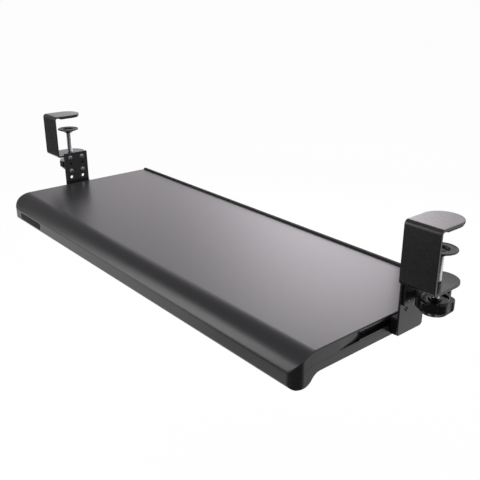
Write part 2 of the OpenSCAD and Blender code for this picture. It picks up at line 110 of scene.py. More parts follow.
class TraySizes(bpy.types.PropertyGroup):
    """Sizes of the pieces that their boxes in the frame don't give."""

    nose_radius: length("Nose radius", "Radius of the rolled front edge", 0.031)
    lip_drop: length("Lip drop", "Drop of the rolled edge, from the top face to the lip", 0.0185)
    skirt: length("Skirt", "Depth of the top shell's skirt", 0.0145)
    base_height: length("Base height", "Height of the base shell under the skirt", 0.011)
    front_corner: length("Front corners", "Corner radius at the tray's front ends", 0.012)
    back_corner: length("Back corners", "Corner radius at the tray's back ends", 0.003)
    shell_wall: length("Shell wall", "Wall of both moulded shells", 0.0025)
    shell_edge: length("Top edge", "Rounding along the edge of the top face", 0.0013)
    base_edge: length("Base edge", "Rounding along the edge of the underside", 0.0016)
    seam_edge: length("Seam edge", "Rounding of both shells where they meet", 0.00035)
    lip_round: length("Lip round", "Radius along the bottom of the lip", 0.005)
    lip_depth: length("Lip depth", "Where the lip starts to rise to the underside", 0.0125)
    lip_rise: length("Lip rise", "Length of the rise behind the lip", 0.022)
    ramp_length: length("Ramp length", "Length of the rise of the underside at the back", 0.018)
    ramp_back: length("Ramp back", "Back end of that rise, in from the tray's back edge", 0.048)
    runout: length("Run-out", "Length of the slope in front of a rail", 0.032)
    stop_slant: length("Stop slant", "Slant of the back stop's ends", 0.0015)
    stop_edge: length("Stop edge", "Rounding of the back stop's edges", 0.0007)
    badge_corner: length("Badge corners", "Corner radius of the badge", 0.002)
    badge_edge: length("Badge edge", "Rounding of the badge's edges", 0.0003)
    shell_screw: length("Shell screw", "Diameter of the screws that hold the shells", 0.003)
    shell_head: length("Shell screw head", "Diameter of those screws' heads", 0.006)
    shell_head_height: length("Shell screw head height", "Height of those heads", 0.002)
    rail_screw: length("Rail screw", "Diameter of the rails' countersunk screws", 0.003)
    rail_sheet: length("Rail sheet", "Sheet of a rail", 0.0012)
    post_bore: length("Post bore", "Diameter of the bores under the base's screws", 0.0068)
    post_sink: length("Post sink", "Depth of those bores", 0.0026)
    arm_corner: length("Arm corners", "Corner radius of an arm", 0.002)
    arm_back_corner: length("Arm back corner", "Corner radius of an arm's lower back corner", 0.004)
    hole: length("Height hole", "Diameter of a height hole", 0.005)
    hole_pitch_y: length("Hole columns", "Distance between the two columns of height holes", 0.021)
    hole_pitch_z: length("Hole rows", "Distance between rows of height holes", 0.01125)
    hole_down: length("Top row", "Top row of holes, down from an arm's top", 0.008)
    screw: length("Screw", "Diameter of the machine screws", 0.004)
    screw_head: length("Screw head", "Diameter of the machine screws' heads", 0.0075)
    screw_chamfer: length("Screw chamfer", "Chamfer at the machine screws' ends", 0.0006)
    sunk_head: length("Sunk heads", "Height of the carriage screws' countersunk heads", 0.0022)
    blind_end: length("Blind end", "How far those screws end inside an arm's outer face", 0.0005)
    sheet: length("Clamp sheet", "Sheet of a clamp", 0.003)
    sheet_edge: length("Sheet edge", "Rounding of the edges of cut sheet", 0.0005)
    bend: length("Bend", "Outside radius of a clamp's bends", 0.005)
    clamp_width: length("Clamp width", "Width of a clamp", 0.042)
    clamp_height: length("Clamp height", "Height of a clamp, outside to outside", 0.069)
    upper_jaw: length("Upper jaw", "Depth of a clamp's upper jaw", 0.053)
    flange_width: length("Flange width", "Width of a clamp's side flange", 0.037)
    flange_corner: length("Flange corners", "Radius of a flange's lower corners", 0.003)
    pad_corner: length("Pad corners", "Radius of the jaw pads' front corners", 0.001)
    pad_edge: length("Pad edge", "Rounding of the jaw pads' edges", 0.0006)
    side_gap: length("Side gap", "Gap between the tray's side and a carriage", 0.0006)
    carriage_corner: length("Carriage corners", "Corner radius of a carriage", 0.0015)
    carriage_edge: length("Carriage edge", "Rounding of a carriage's edges", 0.0008)
    pin_boss: length("Pin boss", "Diameter of the bosses that the roller pins pass through", 0.005)
    roller_pitch: length("Roller pitch", "Distance between the two rollers of a side", 0.026)
    thread_pitch: length("Thread pitch", "Rise of a rod's thread in one turn", 0.00125)
    thread_depth: length("Thread depth", "Depth of a rod's thread", 0.00065)
    rod: length("Rod", "Diameter of a threaded rod", 0.008)
    rod_neck: length("Rod neck", "Diameter of a rod's neck in its disk", 0.006)
    disk_play: length("Disk play", "Gap between a rod's shoulder and its disk", 0.0001)
    rivet: length("Rivet", "Diameter of the rivet on that neck", 0.010)
    rivet_height: length("Rivet height", "Height of that rivet", 0.0015)
    disk_rim: length("Disk rim", "Thickness of a pressure disk's rim", 0.0015)
    disk_bead: length("Disk bead", "Width of the raised bead along that rim", 0.0012)
    disk_dish: length("Disk dish", "Diameter of the dish in a pressure disk", 0.016)
    disk_floor: length("Disk floor", "Depth of that dish", 0.003)
    disk_flare: length("Disk flare", "How far the dish's wall leans out", 0.0012)
    disk_hub: length("Disk hub", "Diameter of the hub under a pressure disk", 0.013)
    disk_hub_height: length("Disk hub height", "Height of that hub", 0.001)
    knob_chamfer: length("Knob chamfer", "Chamfer under a knob's rim", 0.006)
    knob_dish: length("Knob dish", "Diameter of the dish in a knob's top", 0.028)
    knob_dish_depth: length("Knob dish depth", "Depth of that dish", 0.002)
    knob_draft: length("Knob draft", "How far the wall of that dish leans in", 0.001)
    knob_hub: length("Knob hub", "Diameter of the hub in a knob's dish", 0.014)
    hub_draft: length("Hub draft", "How far that hub narrows to its top", 0.0004)
    scallop: length("Scallop", "Diameter of the scallops round a knob", 0.016)
    scallop_depth: length("Scallop depth", "Depth of those scallops", 0.0025)
    scallop_edge: length("Scallop edge", "Rounding of the lobes' edges at the scallops", 0.0007)
    lobes: bpy.props.IntProperty(name="Lobes", description="Lobes round a knob", default=6, min=3)


class TrayFinish(bpy.types.PropertyGroup):
    """Colours of the finishes."""

    shell: colour("Moulded shell", "Semi-gloss black of both shells", (0.013, 0.013, 0.0148))
    coat: colour("Powder coat", "Satin black of the steel sheet", (0.0105, 0.0105, 0.011))
    rubber: colour("Rubber", "Matt black of the stop and the pads", (0.012, 0.012, 0.012))
    gloss: colour("Gloss black", "Gloss black of the knobs and the badge", (0.006, 0.006, 0.0063))
    # The nylon's black is partly its own matt black and partly painted shade: it is taken darker than the
    # other blacks so that the carriages in the gap beside the tray and the stops in the rail recesses look
    # shaded
    nylon: colour("Nylon", "Matt black of the carriages and the rail stops", (0.005, 0.005, 0.0053))
    acetal: colour("Acetal", "Black of the rollers", (0.014, 0.014, 0.015))
    zinc: colour("Zinc", "Bright zinc of the rods and the base's screws", (0.50, 0.51, 0.53))
    # The rivets take this finish too, darker than the rods they end, as painted shade in the middle of the
    # disks' dishes
    black_zinc: colour("Black zinc", "Black zinc of the disks, pins and sunk screws", (0.016, 0.016, 0.017))
    nickel: colour("Dark nickel", "Dark nickel of the arms' screws", (0.022, 0.022, 0.023))


class TrayStage(bpy.types.PropertyGroup):
    """Camera and light."""

    azimuth: angle("Azimuth", "Camera's turn round the tray, from its front to its right", 50.0)
    elevation: angle("Elevation", "Camera's height over the horizon", 21.5)
    distance: length("Distance", "Camera's distance from its target", 0.9309)
    target: bpy.props.FloatVectorProperty(
        name="Target", description="Point that the camera looks at", default=(0.0342, 0.0515, 0.0231),
        subtype="TRANSLATION", unit="LENGTH",
    )
    lens: bpy.props.FloatProperty(
        name="Lens", description="Focal length in millimetres", default=50.07, unit="CAMERA"
    )
    floor_drop: length("Floor drop", "Height of the tray over the floor, as under a desk", 0.66)
    floor_white: factor("Floor's white", "Share of plain white in the floor as it is seen", 0.96)
    ambient: factor("Ambient", "Light that the surroundings give to matt surfaces", 0.55)
    key_power: factor("Key power", "Power of the overhead light in watts", 22.0, 500.0)
    key_size: length("Key size", "Diameter of the overhead light", 1.4)
    key_place: bpy.props.FloatVectorProperty(
        name="Key place", description="Middle of the overhead light", default=(-0.3, -0.7, 1.7),
        subtype="TRANSLATION", unit="LENGTH",
    )
    back_box: factor("Back soft box", "Radiance of the soft box behind the tray", 4.2, 20.0)
    front_box: factor("Front soft box", "Radiance of the soft box before the tray's left end", 4.2, 20.0)
    right_box: factor("Right soft box", "Radiance of the soft box beyond the tray's right end", 1.8, 20.0)
    dark_card: factor("Dark cards", "Radiance of the cards between and over the soft boxes", 0.3)
    front_card: factor("Front cards", "Radiance of the dark cards low in front of the tray", 0.12)
    black_card: factor("Black cards", "Radiance of the cards round the camera and low at the back", 0.04)
    clamp_card: factor("Clamp card", "Radiance of the dark card behind the right clamp", 0.45)


# Surfaces: a patch is an array of points and a list of faces over them


def grid(points, wrap=False):
    """Quads between neighbours in an array of points (rows, columns, 3).

    wrap joins the last column to the first."""
    rows, columns = points.shape[:2]
    row = np.arange(rows - 1)[:, None] * columns
    column = np.arange(columns if wrap else columns - 1)[None, :]
    beside = (column + 1) % columns
    quads = np.stack([row + column, row + beside, row + columns + beside, row + columns + column], -1)
    return points.reshape(-1, 3), quads.reshape(-1, 4).tolist()


def stack(*parts):
    """An array of points from arrays of their coordinates, which may need broadcasting."""
    return np.stack(np.broadcast_arrays(*parts), -1)


def full_turn(steps):
    """Even angles round a circle, without the last, which is the first."""
    return np.linspace(0, 2 * np.pi, steps, endpoint=False)


def quarter_turn(steps):
    """Even angles through a right angle, with both ends."""
    return np.radians(np.linspace(0, 90, steps))


def rounded(corners, radii, steps=6):
    """A closed line of corners, where each corner with a radius becomes an arc.

    An arc's centre lies on the corner's bisector, at radius / sin(half the corner's angle), and its points
    turn evenly from the radius that meets one leg to the radius that meets the other."""
    corners = np.asarray(corners, float)
    share = np.linspace(0, 1, steps)[:, None]
    line = []
    for here, before, after, radius in zip(corners, np.roll(corners, 1, 0), np.roll(corners, -1, 0), radii):
        if radius == 0:
            line.append(here[None])
            continue
        back = (before - here) / np.linalg.norm(before - here)
        ahead = (after - here) / np.linalg.norm(after - here)
        half = np.arccos(np.clip(back @ ahead, -1, 1)) / 2
        bisector = (back + ahead) / np.linalg.norm(back + ahead)
        centre = here + bisector * radius / np.sin(half)
        first = here + back * radius / np.tan(half) - centre
        last = here + ahead * radius / np.tan(half) - centre
        turn = np.pi - 2 * half
        arc = np.sin((1 - share) * turn) * first + np.sin(share * turn) * last
        line.append(centre + arc / np.sin(turn))
    return np.concatenate(line)


def rectangle(left, bottom, right, top, radii, steps=6):
    """A counter-clockwise rectangle from its lower left corner, with a radius at each corner."""
    return rounded([[left, bottom], [right, bottom], [right, top], [left, top]], radii, steps)


def hole_ring(radius, centre, sides=32):
    """A clockwise circle of points, which bounds a hole."""
    turn = -full_turn(sides)
    return np.asarray(centre) + radius * stack(np.cos(turn), np.sin(turn))


def line_normals(line, shortest=1e-12, sharpest=0.4):
    """Normals of a closed line, to the right of its direction.

    At a corner, the sum of both legs' normals is divided by half its square, so that offsets stay parallel to
    the legs. Legs count as no shorter than shortest, and that half as no less than sharpest."""
    leg = np.roll(line, -1, 0) - line
    leg /= np.maximum(np.linalg.norm(leg, axis=1, keepdims=True), shortest)
    right = leg[:, ::-1] * (1, -1)
    both = right + np.roll(right, 1, 0)
    return both / np.maximum((both * both).sum(1, keepdims=True) / 2, sharpest)


def edge_profile(thickness, edge, steps=4):
    """(inset, level) steps round a plate's edge: a quarter circle, the flat rim, and a quarter circle."""
    turn = quarter_turn(steps)
    inset = edge * (1 - np.sin(turn))
    level = edge * (1 - np.cos(turn))
    return np.concatenate([inset, inset[::-1]]), np.concatenate([level, thickness - level[::-1]])


def filled(loops, *heights):
    """Triangles between the first loop and the others, which are holes in it, at each of the heights."""
    flat = np.concatenate(loops)
    outlines = [[Vector((*p, 0)) for p in line] for line in loops]
    triangles = [list(t) for t in tessellate_polygon(outlines)]
    return [(stack(flat[:, 0], flat[:, 1], height), triangles) for height in heights]


def plate(loops, thickness, edge):
    """A flat plate between level 0 and its thickness, as patches in (a, b, level).

    Its first loop runs counter-clockwise round the plate, and the others clockwise round its holes. Each loop
    is carried along the edge profile, drawn in along its normals. Triangles fill the faces between them."""
    inset, level = edge_profile(thickness, edge)
    patches, drawn_in = [], []
    for line in loops:
        moved = line - line_normals(line) * inset[:, None, None]
        patches.append(grid(stack(moved[..., 0], moved[..., 1], level[:, None]), wrap=True))
        drawn_in.append(moved[0])
    return patches + filled(drawn_in, 0.0, thickness)


def spun(radius, level, turn):
    """Radii at levels and turns, carried round the z axis: (radius cos turn, radius sin turn, level)."""
    return grid(stack(radius * np.cos(turn), radius * np.sin(turn), level), wrap=True)


def capped(radius, level, turn):
    """The same, closed to the axis at the first and the last level."""
    radius = np.concatenate([0 * radius[:1], radius, 0 * radius[:1]])
    return spun(radius, np.concatenate([level[:1], level, level[-1:]]), turn)


def lathe(profile, sides):
    """A profile of (radius, height) points turned round the z axis."""
    profile = np.asarray(profile, float)
    return spun(profile[:, :1], profile[:, 1:], full_turn(sides))


def placed(patches, origin, a, b, c):
    """Patches carried to an origin, with their three coordinates along the directions a, b and c."""
    axes = np.array([a, b, c], float)
    return [(np.asarray(origin) + points @ axes, faces) for points, faces in patches]


def on_side(patches, sign):
    """Patches drawn for the right side, mirrored to the left where sign is -1."""
    return [(points * (sign, 1, 1), faces) for points, faces in patches]


def side_line(y, half, corners):
    """Half-width of a rounded rectangle at each y, and the outline's normal there.

    Within a corner's radius r of an end, the normal's y part n grows evenly to 1 and the half-width is
    half - r + r * sqrt(1 - n * n)."""
    front, back = np.maximum(corners, SQUARE)
    near = np.clip((y[0] + front - y) / front, 0, 1)
    far = np.clip((y - y[-1] + back) / back, 0, 1)
    across_near = np.sqrt(1 - near**2)
    across_far = np.sqrt(1 - far**2)
    x = half - front * (1 - across_near) - back * (1 - across_far)
    return x, across_near * across_far, far - near


def corner_rows(start, radius, steps, direction=1):
    """Rows through a rounded corner, closest together where the outline turns away."""
    return start + direction * radius * (1 - np.cos(quarter_turn(steps)))


def merged(*rows):
    """Rows in order, where those within a nanometre are one row."""
    return np.unique(np.round(np.concatenate(rows), 9))


class Outline:
    """A rounded rectangle over rows: along its front, up its right side, along its back and down its left.

    x is the half-width at each row, and nx and ny the normal there. Round the line, px is the place across,
    and mx and my the normal. share holds the columns' places across as shares of the half-width."""

    def __init__(self, rows, half, corners, columns):
        self.x, self.nx, self.ny = side_line(rows, half, corners)
        self.share = np.linspace(-1, 1, columns + 1)
        still = 0 * self.share
        self.px = self.loop(self.x, -self.x, self.share * self.x[0], self.share * self.x[-1])
        self.mx = self.loop(self.nx, -self.nx, still, still)
        self.my = self.loop(self.ny, self.ny, still - 1, still + 1)

    @staticmethod
    def loop(right, left, front, back):
        """Values round the line, from those of the rows at both sides and of the columns at both ends."""
        return np.concatenate([front, right[1:], back[-2::-1], left[-2:0:-1]])

    def carried(self, values):
        """A value of each row, carried round the line."""
        still = 0 * self.share
        return self.loop(values, values, still + values[0], still + values[-1])

    def across(self, inset):
        """Places across for each row and column, with the line drawn in along its normals."""
        return self.share * (self.x - inset * self.nx)[:, None]


def shell(y, half, corners, face, rim, wall, edge, rim_edge, pocket, back_wall, gap=None, columns=12):
    """A moulded shell: a face over rows y, a wall round it down or up to the rim, and the same again inside.

    face(y) and rim(y) give heights. The wall starts inside the outline by the edge radius, turns through a
    quarter circle and runs to the rim, which has a small radius of its own. The inner wall lies one wall
    further in. pocket is (depth(y), upper drop, lower drop) of a recess along both sides, and gap names two
    rows with no face between them."""
    line = Outline(y, half, corners, columns)
    py, my = line.carried(y), line.my
    depth, upper, lower = pocket
    sign = 1.0 if face(y).mean() > rim(y).mean() else -1.0

    def local(rows, limit, part):
        """A radius, limited to a part of the wall's height."""
        return np.minimum(limit, part * np.abs(face(rows) - rim(rows)))

    def at(inset, height):
        """The outline, drawn in and at a height."""
        return stack(line.px - inset * line.mx, py - inset * my, height)

    soft = local(py, edge, FACE_SHARE)
    lines = []
    for turn in quarter_turn(7):
        inset = soft * (1 - np.sin(turn))
        lines.append(at(inset, face(py - inset * my) - sign * soft * (1 - np.cos(turn))))
    for inset, drop in ((0, upper), (depth(py), upper), (depth(py), lower), (0, lower)):
        if drop is not None:
            lines.append(at(inset, face(py) - sign * drop))
    fine = local(py, rim_edge, RIM_SHARE)
    for turn in quarter_turn(4):
        lines.append(at(fine * (1 - np.cos(turn)), rim(py) + sign * fine * (1 - np.sin(turn))))
    inner = at(wall + depth(py), rim(py))
    inner[:, 1] = np.minimum(inner[:, 1], y[-1] - back_wall)
    lines.append(inner)
    ceiling = inner.copy()
    ceiling[:, 2] = face(inner[:, 1]) - sign * wall
    lines.append(ceiling)

    drawn, deep = local(y, edge, FACE_SHARE), wall + depth(y)
    out_y = y - drawn * line.ny
    in_y = np.minimum(y - deep * line.ny, y[-1] - back_wall)
    outside = stack(line.across(drawn), out_y[:, None], face(out_y)[:, None])
    inside = stack(line.across(deep), in_y[:, None], (face(in_y) - sign * wall)[:, None])
    faces = [outside] if gap is None else [outside[: gap[0] + 1], outside[gap[1]:]]
    return [grid(np.stack(lines), wrap=True), grid(inside)] + [grid(part) for part in faces]


def folded_line(corners, radius, steps=8):
    """Points and outward normals along a line that turns a quarter turn to its left at each inner corner.

    Each turn is an arc of the radius about a centre that lies one radius in from both legs."""
    corners = np.asarray(corners, float)
    legs = np.diff(corners, axis=0)
    legs /= np.linalg.norm(legs, axis=1, keepdims=True)
    outward = legs[:, ::-1] * (1, -1)
    points, normals = [corners[:1]], [outward[:1]]
    share = quarter_turn(steps)[:, None]
    for corner, leg, ahead, side, turned in zip(corners[1:-1], legs, legs[1:], outward, outward[1:]):
        normal = np.cos(share) * side + np.sin(share) * turned
        points.append(corner - radius * leg + radius * ahead + radius * normal)
        normals.append(normal)
    return np.concatenate(points + [corners[-1:]]), np.concatenate(normals + [outward[-1:]])


def bent_sheet(points, normals, half, ends, thickness, edge, columns, steps=14):
    """A strip of sheet carried along a line of points, as patches in (across, a, b).

    ends are the corner radii at the strip's two ends, in its flat state. Its outline is drawn in round the
    edge profile as on a plate, and its places are carried half a thickness to either side of the line."""
    along = np.concatenate([[0], np.cumsum(np.linalg.norm(np.diff(points, axis=0), axis=1))])
    u = merged(along, corner_rows(along[0], ends[0], steps), corner_rows(along[-1], ends[1], steps, -1))
    line = stack(*(np.interp(u, along, part) for part in points.T))
    normal = stack(*(np.interp(u, along, part) for part in normals.T))
    normal /= np.linalg.norm(normal, axis=1, keepdims=True)
    tangent = normal[:, ::-1] * (-1, 1)
    flat = Outline(u, half, ends, columns)
    inset, level = edge_profile(thickness, edge)
    inset, offset = inset[:, None], (level - thickness / 2)[:, None]
    carried = [
        flat.carried(place) - inset * flat.my * flat.carried(ahead) + offset * flat.carried(out)
        for place, ahead, out in zip(line.T, tangent.T, normal.T)
    ]
    patches = [grid(stack(flat.px - inset * flat.mx, *carried), wrap=True)]
    drawn = line - edge * flat.ny[:, None] * tangent
    for side in (-0.5, 0.5):
        face = drawn + side * thickness * normal
        patches.append(grid(stack(flat.across(edge), face[:, :1], face[:, 1:])))
    return patches


def cross_recess(a, b, shares, diameter, height):
    """Depth of a cross-shaped driver recess at each place of a head: two crossed bars with sloping walls."""
    half_length, half_width, depth = np.array(shares) * (diameter, diameter, height)
    soft = half_width * RECESS_SLOPE

    def bar(along, across):
        """1 along a bar, down to 0 at its edges."""
        ends = np.clip((half_length - np.abs(along)) / soft, 0, 1)
        sides = np.clip((half_width - np.abs(across)) / soft, 0, 1)
        return ends * sides

    return depth * np.maximum(bar(a, b), bar(b, a))


def pan_head(diameter, height, rows=22, sides=48):
    """A pan head on the plane z = 0: radius R * sqrt(sin t), height h * cos t, less a cross recess."""
    turn = full_turn(sides)
    rise = quarter_turn(rows)[:, None]
    radius = diameter / 2 * np.sqrt(np.sin(rise))
    a, b = radius * np.cos(turn), radius * np.sin(turn)
    sunk = cross_recess(a, b, PAN_RECESS, diameter, height)
    dome = stack(a, b, height * np.cos(rise) - sunk)
    foot = stack(0 * a[:1], 0 * b[:1], 0.0)
    return [grid(np.concatenate([dome, foot]), wrap=True)]


def pointed(diameter, reach, point=0.001, sides=24):
    """A screw's shank from z = 0 to its reach, which ends in a cone as long as its point."""
    radius = diameter / 2
    return lathe([[0, 0], [radius, 0], [radius, reach - point], [0, reach]], sides)


def sunk_head(diameter, height, shank, rows=18, sides=48):
    """A countersunk head: a flat face at z = 0 with a cross recess, and a cone down to the shank."""
    turn = full_turn(sides)
    radius = diameter / 2 * np.linspace(0, 1, rows)[:, None]
    a, b = radius * np.cos(turn), radius * np.sin(turn)
    face = stack(a, b, -cross_recess(a, b, SUNK_RECESS, diameter, height))
    cone = stack(shank / 2 * np.cos(turn), shank / 2 * np.sin(turn), -height)
    tip = stack(0 * turn, 0 * turn, -height)
    return [grid(np.concatenate([face, cone[None], tip[None]]), wrap=True)]


def piece(name, patches, body, slot, *nodes):
    """A finished piece: one closed mesh from its patches, riding on its body in place of CAD nodes."""
    points, faces, first = [], [], 0
    for patch_points, patch_faces in patches:
        points.append(patch_points)
        faces += [[first + i for i in face] for face in patch_faces]
        first += len(patch_points)
    mesh = bpy.data.meshes.new(name)
    mesh.from_pydata(np.concatenate(points).tolist(), [], faces)
    welded = bmesh.new()
    welded.from_mesh(mesh)
    bmesh.ops.remove_doubles(welded, verts=welded.verts, dist=MERGE)
    bmesh.ops.dissolve_degenerate(welded, edges=welded.edges, dist=MERGE)
    bmesh.ops.recalc_face_normals(welded, faces=welded.faces)
    welded.to_mesh(mesh)
    welded.free()
    if not mesh.polygons:
        raise RuntimeError(f"{name} has no faces")
    mesh.shade_smooth()
    mesh.set_sharp_from_angle(angle=SHARP_ANGLE)
    made = bpy.data.objects.new(name, mesh)
    bpy.context.scene.collection.objects.link(made)
    mesh.materials.append(finish_of(slot))
    weights = made.modifiers.new("Face weights", "WEIGHTED_NORMAL")
    weights.keep_sharp = True
    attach(made, body)
    if nodes:
        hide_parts(*nodes)


def dress(node, slot):
    """Gives a CAD node that stays in view the finish of a slot."""
    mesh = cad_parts[node].data
    mesh.materials.clear()
    mesh.materials.append(finish_of(slot))


def box_of(node, sign=1.0):
    """A node's lowest and highest corners, mirrored to the right side where sign is -1."""
    low, high = (np.array(corner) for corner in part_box(node))
    if sign < 0:
        low[0], high[0] = -high[0], -low[0]
    return low, high


def foot_of(low, high):
    """Middle of a box's underside."""
    return (low[0] + high[0]) / 2, (low[1] + high[1]) / 2, low[2]


def screw_places(node, room=0.02):
    """Middles of a node's upright screws: points that lie within that room of each other are one screw's."""
    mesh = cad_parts[node].data
    points = np.empty(len(mesh.vertices) * 3)
    mesh.vertices.foreach_get("co", points)
    left = points.reshape(-1, 3)[:, :2]
    found = []
    while len(left):
        near = np.linalg.norm(left - left[0], axis=1) < room
        found.append((left[near].min(0) + left[near].max(0)) / 2)
        left = left[~near]
    return found


# Finishes

# Range that noise mostly stays in
MIDDLE = (0.3, 0.7)


class Finish:
    """A material being wired: its node tree, its shader and the object coordinates that its patterns read."""

    def __init__(self, name):
        material = bpy.data.materials.new(name)
        material.use_nodes = True
        self.tree = material.node_tree
        self.shader = self.tree.nodes["Principled BSDF"]
        self.place = self.tree.nodes.new("ShaderNodeTexCoord").outputs["Object"]

    def link(self, source, target):
        """Joins an output to an input."""
        self.tree.links.new(source, target)

    def noise(self, grain, detail=2.0, stretch=(1.0, 1.0, 1.0)):
        """Noise whose grains have about that size in metres, drawn out along an axis by its stretch."""
        mapping = self.tree.nodes.new("ShaderNodeMapping")
        mapping.inputs["Scale"].default_value = [1 / (grain * s) for s in stretch]
        self.link(self.place, mapping.inputs["Vector"])
        texture = self.tree.nodes.new("ShaderNodeTexNoise")
        texture.inputs["Scale"].default_value = 1.0
        texture.inputs["Detail"].default_value = detail
        self.link(mapping.outputs["Vector"], texture.inputs["Vector"])
        return texture.outputs["Fac"]

    def tint(self, source, base, darker, lighter):
        """Varies the base colour with a pattern, from darker to lighter times the colour."""
        node = self.tree.nodes.new("ShaderNodeMix")
        node.data_type = "RGBA"
        ends = [s for s in node.inputs if s.type == "RGBA"]
        for end, share in zip(ends, (darker, lighter)):
            end.default_value = (*[c * share for c in base], 1)
        self.link(source, node.inputs["Factor"])
        result = next(s for s in node.outputs if s.type == "RGBA")
        self.link(result, self.shader.inputs["Base Color"])

    def gloss(self, source, low, high):
        """Carries a pattern's middle range to a roughness from low to high."""
        node = self.tree.nodes.new("ShaderNodeMapRange")
        for socket, value in zip(("From Min", "From Max", "To Min", "To Max"), (*MIDDLE, low, high)):
            node.inputs[socket].default_value = value
        self.link(source, node.inputs["Value"])
        self.link(node.outputs["Result"], self.shader.inputs["Roughness"])

    def bump(self, source, strength, depth):
        """Raises a pattern by a depth in metres."""
        node = self.tree.nodes.new("ShaderNodeBump")
        node.inputs["Strength"].default_value = strength
        node.inputs["Distance"].default_value = depth
        self.link(source, node.inputs["Height"])
        self.link(node.outputs["Normal"], self.shader.inputs["Normal"])

    def level(self, socket, value):
        """Sets a socket of the shader that is the same all over."""
        self.shader.inputs[socket].default_value = value


def moulded_shell(finish, base):
    """Semi-gloss moulded plastic: a fine spark-etched grain, and slow changes of gloss from the mould."""
    finish.tint(finish.noise(0.012, 3.0), base, 0.9, 1.1)
    finish.gloss(finish.noise(0.004, 3.0), 0.285, 0.315)
    finish.bump(finish.noise(0.0007, 2.0), 0.04, 0.00002)


def powder_coat(finish, base):
    """Satin powder coat: soft orange peel over sheet steel."""
    finish.tint(finish.noise(0.006, 3.0), base, 0.8, 1.2)
    finish.gloss(finish.noise(0.003, 3.0), 0.24, 0.28)
    finish.bump(finish.noise(0.0009, 2.0), 0.05, 0.00002)


def soft_rubber(finish, base):
    """Matt rubber with a fine cast texture."""
    finish.tint(finish.noise(0.004, 4.0), base, 0.75, 1.3)
    finish.gloss(finish.noise(0.002, 3.0), 0.62, 0.78)
    finish.bump(finish.noise(0.0005, 3.0), 0.3, 0.00006)


def gloss_plastic(finish, base):
    """Gloss moulded plastic with faint handling marks."""
    finish.tint(finish.noise(0.02, 3.0), base, 0.85, 1.15)
    finish.gloss(finish.noise(0.003, 5.0), 0.16, 0.24)
    finish.bump(finish.noise(0.0012, 2.0), 0.05, 0.00003)


def badge_gloss(finish, base):
    """Polished face of the blank badge, with hairline marks along it."""
    finish.tint(finish.noise(0.01, 3.0), base, 0.9, 1.1)
    finish.gloss(finish.noise(0.0006, 3.0, (12.0, 1.0, 1.0)), 0.10, 0.18)
    finish.bump(finish.noise(0.0004, 2.0, (14.0, 1.0, 1.0)), 0.05, 0.00001)
    finish.level("Specular IOR Level", 0.02)


def matt_nylon(finish, base):
    """Moulded nylon, matt, with a dry mottled grain; its black, darker than the other plastics, is partly
    painted shade for the gap beside the tray and the rail recesses where it sits.
    """
    finish.tint(finish.noise(0.003, 4.0), base, 0.8, 1.25)
    finish.gloss(finish.noise(0.0025, 4.0), 0.48, 0.62)
    finish.bump(finish.noise(0.0006, 3.0), 0.2, 0.00005)
    finish.level("Specular IOR Level", 0.1)


def black_acetal(finish, base):
    """Turned acetal, with fine rings left by the tool."""
    finish.tint(finish.noise(0.003, 3.0), base, 0.85, 1.15)
    finish.gloss(finish.noise(0.002, 3.0), 0.30, 0.42)
    finish.bump(finish.noise(0.0003, 2.0, (0.3, 4.0, 4.0)), 0.1, 0.00002)


def bright_zinc(finish, base):
    """Zinc plate over steel: a cloudy sheen, with fine marks of the tool under it."""
    finish.tint(finish.noise(0.0025, 4.0), base, 0.82, 1.08)
    finish.gloss(finish.noise(0.0009, 4.0, (3.0, 3.0, 0.6)), 0.22, 0.38)
    finish.bump(finish.noise(0.0003, 2.0, (5.0, 5.0, 0.5)), 0.12, 0.00002)
    finish.level("Metallic", 1.0)


def black_zinc(finish, base):
    """Black zinc plate: a dark, slightly cloudy skin over the marks of the tool."""
    finish.tint(finish.noise(0.0025, 4.0), base, 0.75, 1.25)
    finish.gloss(finish.noise(0.0009, 4.0, (3.0, 3.0, 0.6)), 0.24, 0.38)
    finish.bump(finish.noise(0.0003, 2.0, (5.0, 5.0, 0.5)), 0.12, 0.00002)


def dark_nickel(finish, base):
    """Dark nickel plate: a smooth metal skin with faint clouds and marks of the driver."""
    finish.tint(finish.noise(0.002, 4.0), base, 0.8, 1.15)
    finish.gloss(finish.noise(0.0008, 4.0), 0.26, 0.38)
    finish.bump(finish.noise(0.0003, 2.0), 0.08, 0.00002)
    finish.level("Metallic", 1.0)


# The finish of each slot, and the property that holds its colour
FINISHES = {
    "tray_shell": (moulded_shell, "shell"), "coated_steel": (powder_coat, "coat"),
    "rubber": (soft_rubber, "rubber"), "knob": (gloss_plastic, "gloss"), "badge": (badge_gloss, "gloss"),
    "nylon": (matt_nylon, "nylon"), "acetal": (black_acetal, "acetal"), "zinc": (bright_zinc, "zinc"),
    "black_zinc": (black_zinc, "black_zinc"), "dark_nickel": (dark_nickel, "nickel"),
}


def finish_of(slot):
    """The material of a slot, which is made at its first use."""
    make, tone = FINISHES[slot]
    if make.__name__ not in bpy.data.materials:
        make(Finish(make.__name__), getattr(bpy.context.scene.tray_finish, tone))
    return bpy.data.materials[make.__name__]


# The tray's side view, as heights over rows y


def top_height(sizes):
    """Height of the top face: level, then an arc of the nose radius down to the lip."""
    low, high = box_of("tray_top")
    radius = sizes.nose_radius
    start = low[1] + np.sqrt(radius**2 - (radius - sizes.lip_drop) ** 2)

    def height(y):
        reach = np.clip(start - y, 0, radius)
        return high[2] - radius + np.sqrt(radius**2 - reach**2)

    return height, start


